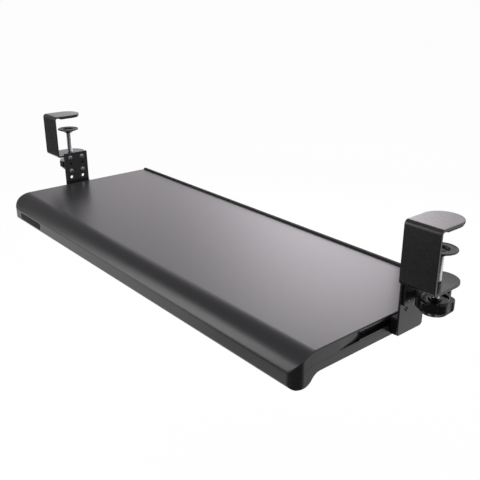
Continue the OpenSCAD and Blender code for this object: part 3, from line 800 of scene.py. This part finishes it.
def underside_height(sizes):
    """Height of the underside: the lip's round foot, two arcs up to the flat, and the rise at the back."""
    low, high = box_of("tray_top")
    foot = box_of("tray_base")[0][2]
    flat = high[2] - sizes.skirt - sizes.base_height
    rise = flat - foot
    arc = ((sizes.lip_rise / 2) ** 2 + (rise / 2) ** 2) / rise
    end = sizes.lip_depth + sizes.lip_rise
    ramp = high[1] - low[1] - sizes.ramp_back - sizes.ramp_length
    top, _ = top_height(sizes)

    def bow(radius, reach):
        """Rise of an arc over its lowest point, at a reach from it."""
        return radius - np.sqrt(np.maximum(radius**2 - reach**2, 0))

    def height(y):
        d = y - low[1]
        parts = [
            (d < sizes.lip_round, foot + bow(sizes.lip_round, sizes.lip_round - d)),
            (d < sizes.lip_depth, foot + 0 * d),
            (d < end - sizes.lip_rise / 2, foot + bow(arc, d - sizes.lip_depth)),
            (d < end, flat - bow(arc, end - d)),
            (d < ramp, flat + 0 * d),
        ]
        raised = flat + (d - ramp) / sizes.ramp_length * sizes.base_height
        found = np.select([test for test, _ in parts], [value for _, value in parts], raised)
        return np.minimum(found, top(y) - sizes.skirt)

    return height, arc, end + low[1], ramp + low[1]


# Operators


class TRAY_OT_top_shell(bpy.types.Operator):
    """Top shell: level face, rolled front edge, lip, skirt and the recesses that the rails lie in"""

    bl_idname = "tray.top_shell"
    bl_label = "Top shell"

    def execute(self, context):
        sizes = context.scene.tray_sizes
        low, high = box_of("tray_top")
        rail_low, rail_high = box_of("right_rail")
        stop = box_of("right_rail_stops")[1][0]
        top, nose = top_height(sizes)

        def depth(y):
            """A slope in to the front stop, a step to the rail's full depth, and a step out at its end."""
            slope = np.clip((y - rail_low[1] + sizes.runout) / sizes.runout, 0, 1)
            full = np.clip((y - rail_low[1] + STEP) / STEP, 0, 1)
            closed = np.clip((rail_high[1] + STEP - y) / STEP, 0, 1)
            return closed * (slope * (high[0] - stop) + full * (stop - rail_low[0]))

        steepest = np.arcsin((nose - low[1] - sizes.front_corner) / sizes.nose_radius)
        rows = merged(
            corner_rows(low[1], sizes.front_corner, 14),
            nose - sizes.nose_radius * np.sin(np.linspace(steepest, 0, 14)),
            np.linspace(rail_low[1] - sizes.runout, rail_low[1] - STEP, 5),
            np.linspace(rail_low[1], rail_high[1], 9),
            [rail_high[1] + STEP],
            corner_rows(high[1], sizes.back_corner, 7, -1),
        )
        patches = shell(
            rows, high[0], (sizes.front_corner, sizes.back_corner), top, lambda y: top(y) - sizes.skirt,
            sizes.shell_wall, sizes.shell_edge, sizes.seam_edge,
            (depth, high[2] - rail_high[2], high[2] - rail_low[2]), sizes.shell_wall,
        )
        piece("top_shell", patches, "tray", "tray_shell", "tray_top")
        return {"FINISHED"}


class TRAY_OT_base_shell(bpy.types.Operator):
    """Base shell: the lip's foot, the flat underside with its screw bores, and the rise at the back"""

    bl_idname = "tray.base_shell"
    bl_label = "Base shell"

    def execute(self, context):
        sizes = context.scene.tray_sizes
        low, high = box_of("tray_top")
        top, _ = top_height(sizes)
        under, arc, flat_start, flat_end = underside_height(sizes)
        bow = arc * np.sin(np.linspace(0, np.arcsin(sizes.lip_rise / 2 / arc), 9))
        back = flat_end + sizes.ramp_length
        rows = merged(
            corner_rows(low[1], sizes.front_corner, 12), corner_rows(low[1], sizes.lip_round, 9),
            low[1] + sizes.lip_depth + bow, flat_start - bow, np.linspace(flat_end, back, 5),
        )
        gap = [int(np.abs(rows - y).argmin()) for y in (flat_start, flat_end)]
        patches = shell(
            rows, high[0], (sizes.front_corner, SQUARE), under, lambda y: top(y) - sizes.skirt,
            sizes.shell_wall, sizes.base_edge, sizes.seam_edge, (np.zeros_like, None, None),
            sizes.ramp_length / 2, gap,
        )
        patches += self.bored_flat(sizes, rows[gap], high[0] - sizes.base_edge, under(rows[gap])[0])
        patches += self.back_panel(sizes, back - sizes.ramp_length / 2, high[2] - sizes.skirt)
        piece("base_shell", patches, "tray", "tray_shell", "tray_base")
        return {"FINISHED"}

    @staticmethod
    def bored_flat(sizes, rows, half, height, columns=12):
        """The flat underside between two rows, with a bore for each screw: a wall up to a flat floor."""
        share = np.linspace(-1, 1, columns + 1) * half
        edge = np.concatenate([stack(share, rows[0]), stack(share[::-1], rows[1])])
        middles = screw_places("tray_screws")
        holes = [hole_ring(sizes.post_bore / 2, middle) for middle in middles]
        patches = filled([edge, *holes], height)
        levels = np.array([height, height + sizes.post_sink])[:, None]
        for hole, middle in zip(holes, middles):
            wall = stack(hole[None, :, 0] + 0 * levels, hole[None, :, 1], levels)
            floor = stack(np.full(len(hole), middle[0]), middle[1], levels[1, 0])
            patches.append(grid(np.concatenate([wall, floor[None]]), wrap=True))
        return patches

    @staticmethod
    def back_panel(sizes, front, seam):
        """The panel that closes the shell behind the rise, level with the skirt's lower edge."""
        half = box_of("right_rail")[0][0] - sizes.shell_wall
        back = box_of("tray_base")[1][1]
        outline = rectangle(-half, front, half, back, [0, 0, sizes.seam_edge, sizes.seam_edge])
        panel = plate([outline], sizes.shell_wall, sizes.seam_edge)
        return placed(panel, (0, 0, seam + APART), X, Y, Z)


class TRAY_OT_shell_screws(bpy.types.Operator):
    """Eight screws, seen in their bores under the base"""

    bl_idname = "tray.shell_screws"
    bl_label = "Shell screws"

    def execute(self, context):
        sizes = context.scene.tray_sizes
        low, high = box_of("tray_screws")
        tall = sizes.shell_head_height
        head = pan_head(sizes.shell_head, tall)
        shank = pointed(sizes.shell_screw, high[2] - low[2] - tall)
        patches = []
        for x, y in screw_places("tray_screws"):
            root = (x, y, low[2] + tall)
            patches += placed(head, root, X, -Y, -Z) + placed([shank], root, X, Y, Z)
        piece("shell_screws", patches, "tray", "zinc", "tray_screws")
        return {"FINISHED"}


class TRAY_OT_back_stop(bpy.types.Operator):
    """Strip along the back edge, with slanted ends"""

    bl_idname = "tray.back_stop"
    bl_label = "Back stop"

    def execute(self, context):
        sizes = context.scene.tray_sizes
        low, high = box_of("back_stop")
        face = box_of("tray_top")[1][2]
        soft = sizes.stop_edge
        outline = rectangle(low[1], face, high[1], high[2], [0, 0, soft, soft])
        patches = []
        # The strip is drawn from level 0 to 2, so level - 1 is a place's share of the half length
        for points, faces in plate([outline], 2.0, 2 * soft / (high[0] - low[0])):
            y, z, level = points.T
            inset = np.clip(y - high[1] + sizes.back_corner, 0, None)
            corner = sizes.back_corner - np.sqrt(sizes.back_corner**2 - inset**2)
            half = high[0] - corner - sizes.stop_slant * (z - face) / (high[2] - face)
            patches.append((stack((level - 1) * half, y, z), faces))
        piece("stop_strip", patches, "tray", "rubber", "back_stop")
        return {"FINISHED"}


class TRAY_OT_badge(bpy.types.Operator):
    """Blank badge plate at the left of the lip"""

    bl_idname = "tray.badge"
    bl_label = "Badge"

    def execute(self, context):
        sizes = context.scene.tray_sizes
        low, high = box_of("front_badge")
        outline = rectangle(low[0], low[2], high[0], high[2], [sizes.badge_corner] * 4)
        badge = plate([outline], high[1] - low[1], sizes.badge_edge)
        piece("blank_badge", placed(badge, (0, high[1], 0), X, Z, -Y), "tray", "badge", "front_badge")
        return {"FINISHED"}


class TRAY_OT_rails(bpy.types.Operator):
    """Finishes of the rails, their stops, pins and rollers, and the rails' countersunk screws"""

    bl_idname = "tray.rails"
    bl_label = "Rails and rollers"

    def execute(self, context):
        sizes = context.scene.tray_sizes
        for side, sign in SIDES:
            dress(f"{side}_rail", "coated_steel")
            dress(f"{side}_rail_stops", "nylon")
            dress(f"{side}_roller_pins", "black_zinc")
            dress(f"{side}_front_roller", "acetal")
            dress(f"{side}_rear_roller", "acetal")
            low, high = box_of(f"{side}_rail_screws", sign)
            wide = high[2] - low[2]
            level = (low[2] + high[2]) / 2
            root = high[0] - sizes.rail_sheet + SHANK_ROOT
            head = sunk_head(wide, sizes.rail_sheet, sizes.rail_screw)
            shank = pointed(sizes.rail_screw, root - low[0])
            screws = []
            for y in np.linspace(low[1] + wide / 2, high[1] - wide / 2, 3):
                screws += placed(head, (high[0] + PROUD, y, level), Y, Z, X)
                screws += placed([shank], (root, y, level), Y, Z, -X)
            piece(f"{side}_rail_heads", on_side(screws, sign), "tray", "black_zinc", f"{side}_rail_screws")
        return {"FINISHED"}


class TRAY_OT_arms(bpy.types.Operator):
    """Arm plates with two columns of height holes, and the four pan-head screws in each"""

    bl_idname = "tray.arms"
    bl_label = "Arms"

    def execute(self, context):
        sizes = context.scene.tray_sizes
        corner, chamfer, radius = sizes.arm_corner, sizes.screw_chamfer, sizes.screw / 2
        for side, sign in SIDES:
            body = f"{side}_bracket"
            low, high = box_of(f"{side}_arm", sign)
            columns = (low[1] + high[1]) / 2 + sizes.hole_pitch_y / 2 * np.array([-1, 1])
            rows = high[2] - sizes.hole_down - sizes.hole_pitch_z * np.arange(4)
            corners = [corner, sizes.arm_back_corner, corner, corner]
            outline = rectangle(low[1], low[2], high[1], high[2], corners, 8)
            holes = [hole_ring(sizes.hole / 2, (y, z)) for y in columns for z in rows]
            arm = plate([outline, *holes], high[0] - low[0], sizes.sheet_edge)
            arm = on_side(placed(arm, (low[0], 0, 0), Y, Z, X), sign)
            piece(f"{side}_arm_plate", arm, body, "coated_steel", f"{side}_arm")
            screw_low, screw_high = box_of(f"{side}_arm_screws", sign)
            head = pan_head(sizes.screw_head, low[0] - screw_low[0])
            reach = screw_high[0] - low[0]
            shank = lathe(
                [[0, 0], [radius, 0], [radius, reach - chamfer], [radius - chamfer, reach], [0, reach]], 32
            )
            screws = []
            for y in columns:
                for z in rows[[0, 2]]:
                    root = (low[0], y, z)
                    screws += placed(head, root, Y, Z, -X) + placed([shank], root, Y, Z, X)
            piece(
                f"{side}_height_screws", on_side(screws, sign), body, "dark_nickel", f"{side}_arm_screws"
            )
        return {"FINISHED"}


class TRAY_OT_carriages(bpy.types.Operator):
    """Carriage blocks between the arms and the tray, their pin bosses, and the screws that hold them"""

    bl_idname = "tray.carriages"
    bl_label = "Carriages"

    def execute(self, context):
        sizes = context.scene.tray_sizes
        inner = box_of("tray_top")[1][0] + sizes.side_gap
        for side, sign in SIDES:
            body = f"{side}_bracket"
            low, high = box_of(f"{side}_carriage", sign)
            outline = rectangle(low[1], low[2], high[1], high[2], [sizes.carriage_corner] * 4)
            block = plate([outline], high[0] - inner, sizes.carriage_edge)
            patches = placed(block, (inner, 0, 0), Y, Z, X)
            rail_low, rail_high = box_of(f"{side}_rail", sign)
            radius, reach = sizes.pin_boss / 2, inner - low[0] + sizes.carriage_edge
            boss = lathe([[0, 0], [radius, 0], [radius, reach], [0, reach]], 32)
            screw_low, screw_high = box_of(f"{side}_carriage_screws", sign)
            root = screw_low[0] + sizes.sunk_head - SHANK_ROOT
            head = sunk_head(screw_high[2] - screw_low[2], sizes.sunk_head, sizes.screw)
            shank = pointed(sizes.screw, screw_high[0] - root - sizes.blind_end, sizes.blind_end)
            level = (screw_low[2] + screw_high[2]) / 2
            screws = []
            for shift in (-0.5, 0.5):
                y = (low[1] + high[1]) / 2 + shift * sizes.roller_pitch
                patches += placed([boss], (low[0], y, (rail_low[2] + rail_high[2]) / 2), Y, Z, X)
                screws += placed(head, (screw_low[0] - PROUD, y, level), -Y, Z, -X)
                screws += placed([shank], (root, y, level), Y, Z, X)
            piece(f"{side}_carriage_block", on_side(patches, sign), body, "nylon", f"{side}_carriage")
            piece(
                f"{side}_sunk_screws", on_side(screws, sign), body, "black_zinc", f"{side}_carriage_screws"
            )
        return {"FINISHED"}


class TRAY_OT_clamps(bpy.types.Operator):
    """Clamps bent from sheet: two jaws with round ends, the plate between them and the side flange"""

    bl_idname = "tray.clamps"
    bl_label = "Clamps"

    def execute(self, context):
        sizes = context.scene.tray_sizes
        sheet, edge, half = sizes.sheet, sizes.sheet_edge, sizes.clamp_width / 2
        mid = sheet / 2
        for side, sign in SIDES:
            low, high = box_of(f"{side}_clamp", sign)
            lower = high[2] - sizes.clamp_height + mid
            upper = high[2] - mid
            front = low[1] + mid
            line, normals = folded_line(
                [[low[1] + sizes.upper_jaw, upper], [front, upper], [front, lower], [high[1], lower]],
                sizes.bend - mid,
            )
            jaws = bent_sheet(line, normals, half, (half, half), sheet, edge, 20)
            patches = placed(jaws, (high[0] - half, 0, 0), X, Y, Z)
            level, inside = lower - APART, low[0] + mid
            line, normals = folded_line(
                [[high[0] - half, level], [inside, level], [inside, low[2]]], sheet - mid
            )
            flange = bent_sheet(
                line, normals, sizes.flange_width / 2, (SQUARE, sizes.flange_corner), sheet - 3 * APART,
                edge, 6,
            )
            arm_low, arm_high = box_of(f"{side}_arm", sign)
            patches += placed(flange, (0, (arm_low[1] + arm_high[1]) / 2, 0), Y, X, Z)
            piece(
                f"{side}_clamp_sheet", on_side(patches, sign), f"{side}_bracket", "coated_steel",
                f"{side}_clamp",
            )
        return {"FINISHED"}


class TRAY_OT_weld_nuts(bpy.types.Operator):
    """Weld nuts under the lower jaws: a hexagon whose corners a cone takes off at both faces"""

    bl_idname = "tray.weld_nuts"
    bl_label = "Weld nuts"
    # Width of the cone at a face, in widths over the flats, and how much its radius grows with the height
    cone = (1.02, 1.7)

    def execute(self, context):
        wide, slope = self.cone
        turn = full_turn(96)
        for side, _ in SIDES:
            low, high = box_of(f"{side}_clamp_nut")
            flats = (high[1] - low[1]) / 2
            hexagon = flats / np.cos(np.mod(turn, np.pi / 3) - np.pi / 6)
            level = np.linspace(0, high[2] - low[2], 17)
            from_face = np.minimum(level, level[::-1])[:, None]
            radius = np.minimum(hexagon, flats * wide + from_face * slope)
            nut = placed([capped(radius, level[:, None], turn)], foot_of(low, high), X, Y, Z)
            piece(f"{side}_weld_nut", nut, f"{side}_bracket", "coated_steel", f"{side}_clamp_nut")
        return {"FINISHED"}


class TRAY_OT_jaw_pads(bpy.types.Operator):
    """Rubber pads under the upper jaws"""

    bl_idname = "tray.jaw_pads"
    bl_label = "Jaw pads"

    def execute(self, context):
        sizes = context.scene.tray_sizes
        for side, sign in SIDES:
            low, high = box_of(f"{side}_jaw_pad", sign)
            end = (high[0] - low[0]) / 2 - MERGE / 2
            corners = [sizes.pad_corner, sizes.pad_corner, end, end]
            pad = plate(
                [rectangle(low[0], low[1], high[0], high[1], corners, 20)], high[2] - low[2], sizes.pad_edge
            )
            pad = on_side(placed(pad, (0, 0, low[2]), X, Y, Z), sign)
            piece(f"{side}_rubber_pad", pad, f"{side}_bracket", "rubber", f"{side}_jaw_pad")
        return {"FINISHED"}


class TRAY_OT_pressure_disks(bpy.types.Operator):
    """Dished disks that press on the desk from below"""

    bl_idname = "tray.pressure_disks"
    bl_label = "Pressure disks"
    # Radii in metres along the profile, from the middle of the dish round the rim to the middle of the hub
    roundings = (0, 0.0006, 0.0005, 0.0003, 0.0003, 0.0006, 0.0006, 0.0008, 0.0003, 0)

    def execute(self, context):
        sizes = context.scene.tray_sizes
        dish, hub = sizes.disk_dish / 2, sizes.disk_hub / 2
        for side, _ in SIDES:
            low, high = box_of(f"{side}_pressure_disk")
            rim = (high[0] - low[0]) / 2
            tall = high[2] - low[2]
            bead, sunk = rim - sizes.disk_bead, -sizes.disk_bead / 3
            profile = rounded(
                [[0, -sizes.disk_floor], [dish, -sizes.disk_floor], [dish + sizes.disk_flare, sunk],
                 [bead + sunk, sunk], [bead, 0], [rim, 0], [rim, -sizes.disk_rim],
                 [hub, sizes.disk_hub_height - tall], [hub, -tall], [0, -tall]],
                self.roundings,
            )
            disk = placed([lathe(profile, 96)], (*foot_of(low, high)[:2], high[2]), X, Y, Z)
            piece(f"{side}_dished_disk", disk, f"{side}_disk", "black_zinc", f"{side}_pressure_disk")
        return {"FINISHED"}


class TRAY_OT_clamp_screws(bpy.types.Operator):
    """Threaded rods: a right-hand V thread, the neck in the disk and the rivet that holds it"""

    bl_idname = "tray.clamp_screws"
    bl_label = "Clamp screws"
    # Rows of points in one turn of the thread, and the share of its pitch that crest and root take each
    turn_rows, crest = 9, 0.12
    # Lengths over which the thread runs out at the rod's lower and upper end, and its share of depth there
    run_out, run_out_depth = (0.001, 0.0012), 0.35

    def execute(self, context):
        sizes = context.scene.tray_sizes
        turn = full_turn(32)
        for side, _ in SIDES:
            low, high = box_of(f"{side}_clamp_screw")
            bottom = box_of(f"{side}_knob")[1][2] - sizes.knob_dish_depth
            top = box_of(f"{side}_pressure_disk")[0][2] - sizes.disk_play
            middle = (*foot_of(low, high)[:2], 0)
            rows = int((top - bottom) / sizes.thread_pitch * self.turn_rows)
            level = np.linspace(bottom, top, rows)[:, None]
            phase = np.mod(level / sizes.thread_pitch - turn / (2 * np.pi), 1)
            groove = np.clip((np.abs(2 * phase - 1) - self.crest) / (1 - 2 * self.crest), 0, 1)
            lower, upper = self.run_out
            taper = np.clip((top - level) / upper, 0, 1) * np.clip((level - bottom) / lower, 0, 1)
            cut = groove * taper + self.run_out_depth * (1 - taper)
            rod = placed([capped(sizes.rod / 2 - sizes.thread_depth * cut, level, turn)], middle, X, Y, Z)
            piece(f"{side}_threaded_rod", rod, f"{side}_screw", "zinc", f"{side}_clamp_screw")
            neck, root = sizes.rod_neck / 2, top - NECK_ROOT
            seat = high[2] - sizes.rivet_height
            bow = quarter_turn(12)
            dome = stack(sizes.rivet / 2 * np.cos(bow), seat + sizes.rivet_height * np.sin(bow))
            profile = np.concatenate([[[0, root], [neck, root], [neck, seat]], dome])
            rivet = placed([lathe(profile, 48)], middle, X, Y, Z)
            # The rivet is the rod's own end, but it takes the disks' black zinc instead of the rod's bright
            # zinc: painted shade for the dim middle of the disk's dish
            piece(f"{side}_rivet", rivet, f"{side}_screw", "black_zinc")
        return {"FINISHED"}


class TRAY_OT_knobs(bpy.types.Operator):
    """Lobed knobs: a turned profile whose radius is limited all round by the scallops"""

    bl_idname = "tray.knobs"
    bl_label = "Knobs"
    # Radii in metres along the profile, from the underside's middle round the rim to the hub's middle
    roundings = (0, 0.0012, 0.0016, 0.0012, 0.0006, 0.0005, 0.0004, 0.0004, 0)
    # Points round each lobe, and how far outside the dish the scallops start to count
    lobe_points, clear = 28, 5e-4

    def execute(self, context):
        sizes = context.scene.tray_sizes
        chamfer, dish, hub = sizes.knob_chamfer, sizes.knob_dish / 2, sizes.knob_hub / 2
        turn = full_turn(sizes.lobes * self.lobe_points)
        lobe = np.pi / sizes.lobes
        spoke = np.mod(turn + lobe, 2 * lobe) - lobe
        for side, _ in SIDES:
            low, high = box_of(f"{side}_knob")
            tall = high[2] - low[2]
            rim = (high[0] - low[0]) / 2
            sunk = tall - sizes.knob_dish_depth
            profile = rounded(
                [[0, 0], [rim - chamfer, 0], [rim, chamfer], [rim, tall], [dish, tall],
                 [dish - sizes.knob_draft, sunk], [hub, sunk], [hub - sizes.hub_draft, tall], [0, tall]],
                self.roundings,
            )
            middle = rim + sizes.scallop / 2 - sizes.scallop_depth
            inside = (sizes.scallop / 2) ** 2 - (middle * np.sin(spoke)) ** 2
            scallop = np.where(inside > 0, middle * np.cos(spoke) - np.sqrt(np.maximum(inside, 0)), 2 * rim)
            turned, level = profile[:, :1], profile[:, 1:]
            radius = self.soft_least(turned, scallop, sizes.scallop_edge)
            radius = np.where(turned > dish + self.clear, radius, turned)
            knob = placed([spun(radius, level, turn)], foot_of(low, high), X, Y, Z)
            piece(f"{side}_lobed_knob", knob, f"{side}_screw", "knob", f"{side}_knob")
        return {"FINISHED"}

    @staticmethod
    def soft_least(first, second, blend):
        """The lesser of two values, rounded where they cross by a quarter of their squared overlap."""
        overlap = np.maximum(blend - np.abs(first - second), 0) / blend
        return np.minimum(first, second) - overlap**2 * blend / 4


# How far the floor reaches from the tray, and its grey
FLOOR_REACH, FLOOR_GREY = 80.0, 0.86
PLAIN = (1.0, 1.0, 1.0)
WARM_VIOLET = (1.0, 0.945, 1.0)
# Distances of the soft boxes and cards: BOX for the soft boxes that also light matt surfaces, FAR and NEAR
# for what only shows in gloss, beyond them and over the floor, and CLOSE, from the right rod, for its card
BOX, FAR, NEAR, CLOSE = 2.6, 3.0, 0.64, 0.26
# Soft boxes and cards on spheres round the tray or the rod, which the camera doesn't see: name, the stage's
# value for its radiance, its tone and distance, its rise over the horizon, and its turns from +X with the
# share of the radiance at each. Angles are in degrees.
CARDS = (
    ("back_soft_box", "back_box", WARM_VIOLET, BOX, (1, 37),
     ((105, 0.32), (113, 0.5), (119, 0.9), (126, 1), (133, 0.86), (140, 0.54), (146, 0.36), (156, 0.3),
      (168, 0.09))),
    ("front_soft_box", "front_box", PLAIN, BOX, (1, 34), ((209, 0.05), (215, 0.45), (224, 0.9), (240, 1))),
    ("right_soft_box", "right_box", PLAIN, FAR, (3, 30), ((-5, 1), (70, 1))),
    ("side_dark_card", "dark_card", PLAIN, FAR, (-12, 40), ((154, 1), (209, 1))),
    ("top_dark_card", "dark_card", PLAIN, FAR, (39, 88), ((112, 1), (265, 1))),
    ("left_dark_card", "front_card", PLAIN, NEAR, (-4, 12), ((185, 1), (207, 1))),
    ("front_dark_card", "front_card", PLAIN, NEAR, (-32, -5), ((242, 1), (276, 1))),
    ("camera_black_card", "black_card", PLAIN, NEAR, (-80, 25), ((276, 1), (369, 1))),
    ("knob_black_card", "black_card", PLAIN, NEAR, (-78, 4), ((48, 1), (125, 1))),
    ("clamp_dark_card", "clamp_card", PLAIN, CLOSE, (-5, 26), ((98, 1), (134, 1))),
)
# Attribute that holds a card's share of its radiance
SHARE = "share"


class TRAY_OT_stage(bpy.types.Operator):
    """Camera, surroundings, floor, soft boxes, dark cards and the overhead light"""

    bl_idname = "tray.stage"
    bl_label = "Stage"

    def execute(self, context):
        scene = context.scene
        stage = scene.tray_stage
        scene.view_settings.view_transform = "Standard"
        self.camera(scene, stage)
        self.surroundings(scene, stage)
        self.floor(stage)
        jaw = box_of("right_clamp")[1][2] - scene.tray_sizes.clamp_height
        by_clamp = (*foot_of(*box_of("right_clamp_screw"))[:2], jaw)
        for name, level, tone, radius, rise, stops in CARDS:
            middle = by_clamp if radius == CLOSE else (0, 0, 0)
            card = self.card(name, self.glow(name, getattr(stage, level), tone), middle, radius, rise, stops)
            card.visible_diffuse = radius == BOX
            card.visible_shadow = radius == BOX
        self.overhead(scene, stage)
        return {"FINISHED"}

    @staticmethod
    def overhead(scene, stage):
        """A round lamp that looks at the tray and doesn't show in its gloss."""
        key = bpy.data.lights.new("key", "AREA")
        key.shape = "DISK"
        key.size = stage.key_size
        key.energy = stage.key_power
        lamp = bpy.data.objects.new("key", key)
        lamp.location = stage.key_place
        lamp.rotation_euler = (-lamp.location).to_track_quat("-Z", "Y").to_euler()
        lamp.visible_glossy = False
        scene.collection.objects.link(lamp)

    @staticmethod
    def camera(scene, stage):
        """The photograph's viewing angle, with no shift and no depth of field."""
        turn, rise = stage.azimuth, stage.elevation
        back = Vector((np.sin(turn) * np.cos(rise), -np.cos(turn) * np.cos(rise), np.sin(rise)))
        data = bpy.data.cameras.new("camera")
        data.lens = stage.lens
        data.sensor_width = 36.0
        data.clip_start = 0.01
        camera = bpy.data.objects.new("camera", data)
        camera.location = Vector(stage.target) + back * stage.distance
        camera.rotation_euler = back.to_track_quat("Z", "Y").to_euler()
        scene.collection.objects.link(camera)
        scene.camera = camera

    @staticmethod
    def reckoned(tree, operation, *values):
        """The result of a Math node on sockets and plain numbers."""
        node = tree.nodes.new("ShaderNodeMath")
        node.operation = operation
        for value, socket in zip(values, node.inputs):
            if isinstance(value, float):
                socket.default_value = value
            else:
                tree.links.new(value, socket)
        return node.outputs[0]

    @staticmethod
    def mixed(tree, output, share, first, second):
        """Wires two shaders to an output, mixed by the second one's share."""
        mix = tree.nodes.new("ShaderNodeMixShader")
        for source, socket in zip((share, first.outputs[0], second.outputs[0]), mix.inputs):
            tree.links.new(source, socket)
        tree.links.new(mix.outputs[0], tree.nodes[output].inputs["Surface"])

    def seen_directly(self, tree):
        """1 for rays from the camera, off gloss and through glass, which see the white background."""
        path = tree.nodes.new("ShaderNodeLightPath").outputs
        total = path["Is Camera Ray"]
        for name in ("Is Glossy Ray", "Is Transmission Ray"):
            total = self.reckoned(tree, "MAXIMUM", total, path[name])
        return total

    def surroundings(self, scene, stage):
        """White where it is seen, and a plain grey level of light on matt surfaces."""
        world = bpy.data.worlds.new("white_room")
        world.use_nodes = True
        tree = world.node_tree
        ambient = tree.nodes["Background"]
        ambient.inputs["Color"].default_value = (stage.ambient, stage.ambient, stage.ambient, 1)
        white = tree.nodes.new("ShaderNodeBackground")
        white.inputs["Color"].default_value = (1, 1, 1, 1)
        self.mixed(tree, "World Output", self.seen_directly(tree), ambient, white)
        scene.world = world

    def floor(self, stage):
        """A pale floor that is seen as nearly white and still takes a soft shadow."""
        material = bpy.data.materials.new("pale_floor")
        material.use_nodes = True
        tree = material.node_tree
        shader = tree.nodes["Principled BSDF"]
        shader.inputs["Base Color"].default_value = (FLOOR_GREY, FLOOR_GREY, FLOOR_GREY, 1)
        shader.inputs["Roughness"].default_value = 0.9
        white = tree.nodes.new("ShaderNodeEmission")
        share = self.reckoned(tree, "MULTIPLY", self.seen_directly(tree), stage.floor_white)
        self.mixed(tree, "Material Output", share, shader, white)
        reach = np.linspace(-FLOOR_REACH, FLOOR_REACH, 9)
        points = stack(reach[None, :], reach[:, None], -stage.floor_drop)
        self.stage_mesh("floor", points, material)

    def glow(self, name, level, tone):
        """Emission of one tone, as strong as the level times the card's share at each place."""
        material = bpy.data.materials.new(name)
        material.use_nodes = True
        tree = material.node_tree
        emission = tree.nodes.new("ShaderNodeEmission")
        emission.inputs["Color"].default_value = (*tone, 1)
        share = tree.nodes.new("ShaderNodeAttribute")
        share.attribute_name = SHARE
        strength = self.reckoned(tree, "MULTIPLY", share.outputs["Fac"], level)
        tree.links.new(strength, emission.inputs["Strength"])
        tree.links.new(emission.outputs[0], tree.nodes["Material Output"].inputs["Surface"])
        return material

    def card(self, name, material, middle, radius, rise, stops, columns=41, rows=13):
        """A card on a sphere about a middle, whose share runs evenly from each turn to the next."""
        turns, shares = np.array(stops, float).T
        turn = np.linspace(turns[0], turns[-1], columns)
        share = np.interp(turn, turns, shares)
        turn = np.radians(turn)
        rise = np.radians(np.linspace(*rise, rows))[:, None]
        flat = np.cos(rise) * radius
        points = np.array(middle) + stack(flat * np.cos(turn), flat * np.sin(turn), np.sin(rise) * radius)
        card = self.stage_mesh(name, points, material)
        card.visible_camera = False
        values = card.data.attributes.new(SHARE, "FLOAT", "POINT")
        values.data.foreach_set("value", np.tile(share, rows))
        return card

    @staticmethod
    def stage_mesh(name, points, material):
        """A sheet of the stage, which isn't part of the object."""
        points, faces = grid(points)
        mesh = bpy.data.meshes.new(name)
        mesh.from_pydata(points.tolist(), [], faces)
        mesh.materials.append(material)
        made = bpy.data.objects.new(name, mesh)
        bpy.context.scene.collection.objects.link(made)
        return made


PIECES = (
    TRAY_OT_top_shell, TRAY_OT_base_shell, TRAY_OT_shell_screws, TRAY_OT_back_stop, TRAY_OT_badge,
    TRAY_OT_rails, TRAY_OT_arms, TRAY_OT_carriages, TRAY_OT_clamps, TRAY_OT_weld_nuts, TRAY_OT_jaw_pads,
    TRAY_OT_pressure_disks, TRAY_OT_clamp_screws, TRAY_OT_knobs, TRAY_OT_stage,
)


class TRAY_PT_panel(bpy.types.Panel):
    """Sizes, colours and operators of the tray"""

    bl_idname = "TRAY_PT_panel"
    bl_label = "Keyboard tray"
    bl_space_type = "VIEW_3D"
    bl_region_type = "UI"
    bl_category = "Tray"

    def draw(self, context):
        layout = self.layout
        for operator in PIECES:
            layout.operator(operator.bl_idname)
        for group in (context.scene.tray_sizes, context.scene.tray_finish, context.scene.tray_stage):
            box = layout.box()
            for name in group.__annotations__:
                box.prop(group, name)


GROUPS = (("tray_sizes", TraySizes), ("tray_finish", TrayFinish), ("tray_stage", TrayStage))


def register():
    for _, group in GROUPS:
        bpy.utils.register_class(group)
    for name, group in GROUPS:
        setattr(bpy.types.Scene, name, bpy.props.PointerProperty(type=group))
    for made in (*PIECES, TRAY_PT_panel):
        bpy.utils.register_class(made)


def unregister():
    for made in (TRAY_PT_panel, *reversed(PIECES)):
        bpy.utils.unregister_class(made)
    for name, group in reversed(GROUPS):
        delattr(bpy.types.Scene, name)
        bpy.utils.unregister_class(group)


def main():
    register()
    bpy.ops.tray.stage()
    bpy.ops.tray.top_shell()
    bpy.ops.tray.base_shell()
    bpy.ops.tray.shell_screws()
    bpy.ops.tray.back_stop()
    bpy.ops.tray.badge()
    bpy.ops.tray.rails()
    bpy.ops.tray.arms()
    bpy.ops.tray.carriages()
    bpy.ops.tray.clamps()
    bpy.ops.tray.weld_nuts()
    bpy.ops.tray.jaw_pads()
    bpy.ops.tray.pressure_disks()
    bpy.ops.tray.clamp_screws()
    bpy.ops.tray.knobs()


if __name__ == "__main__":
    main()
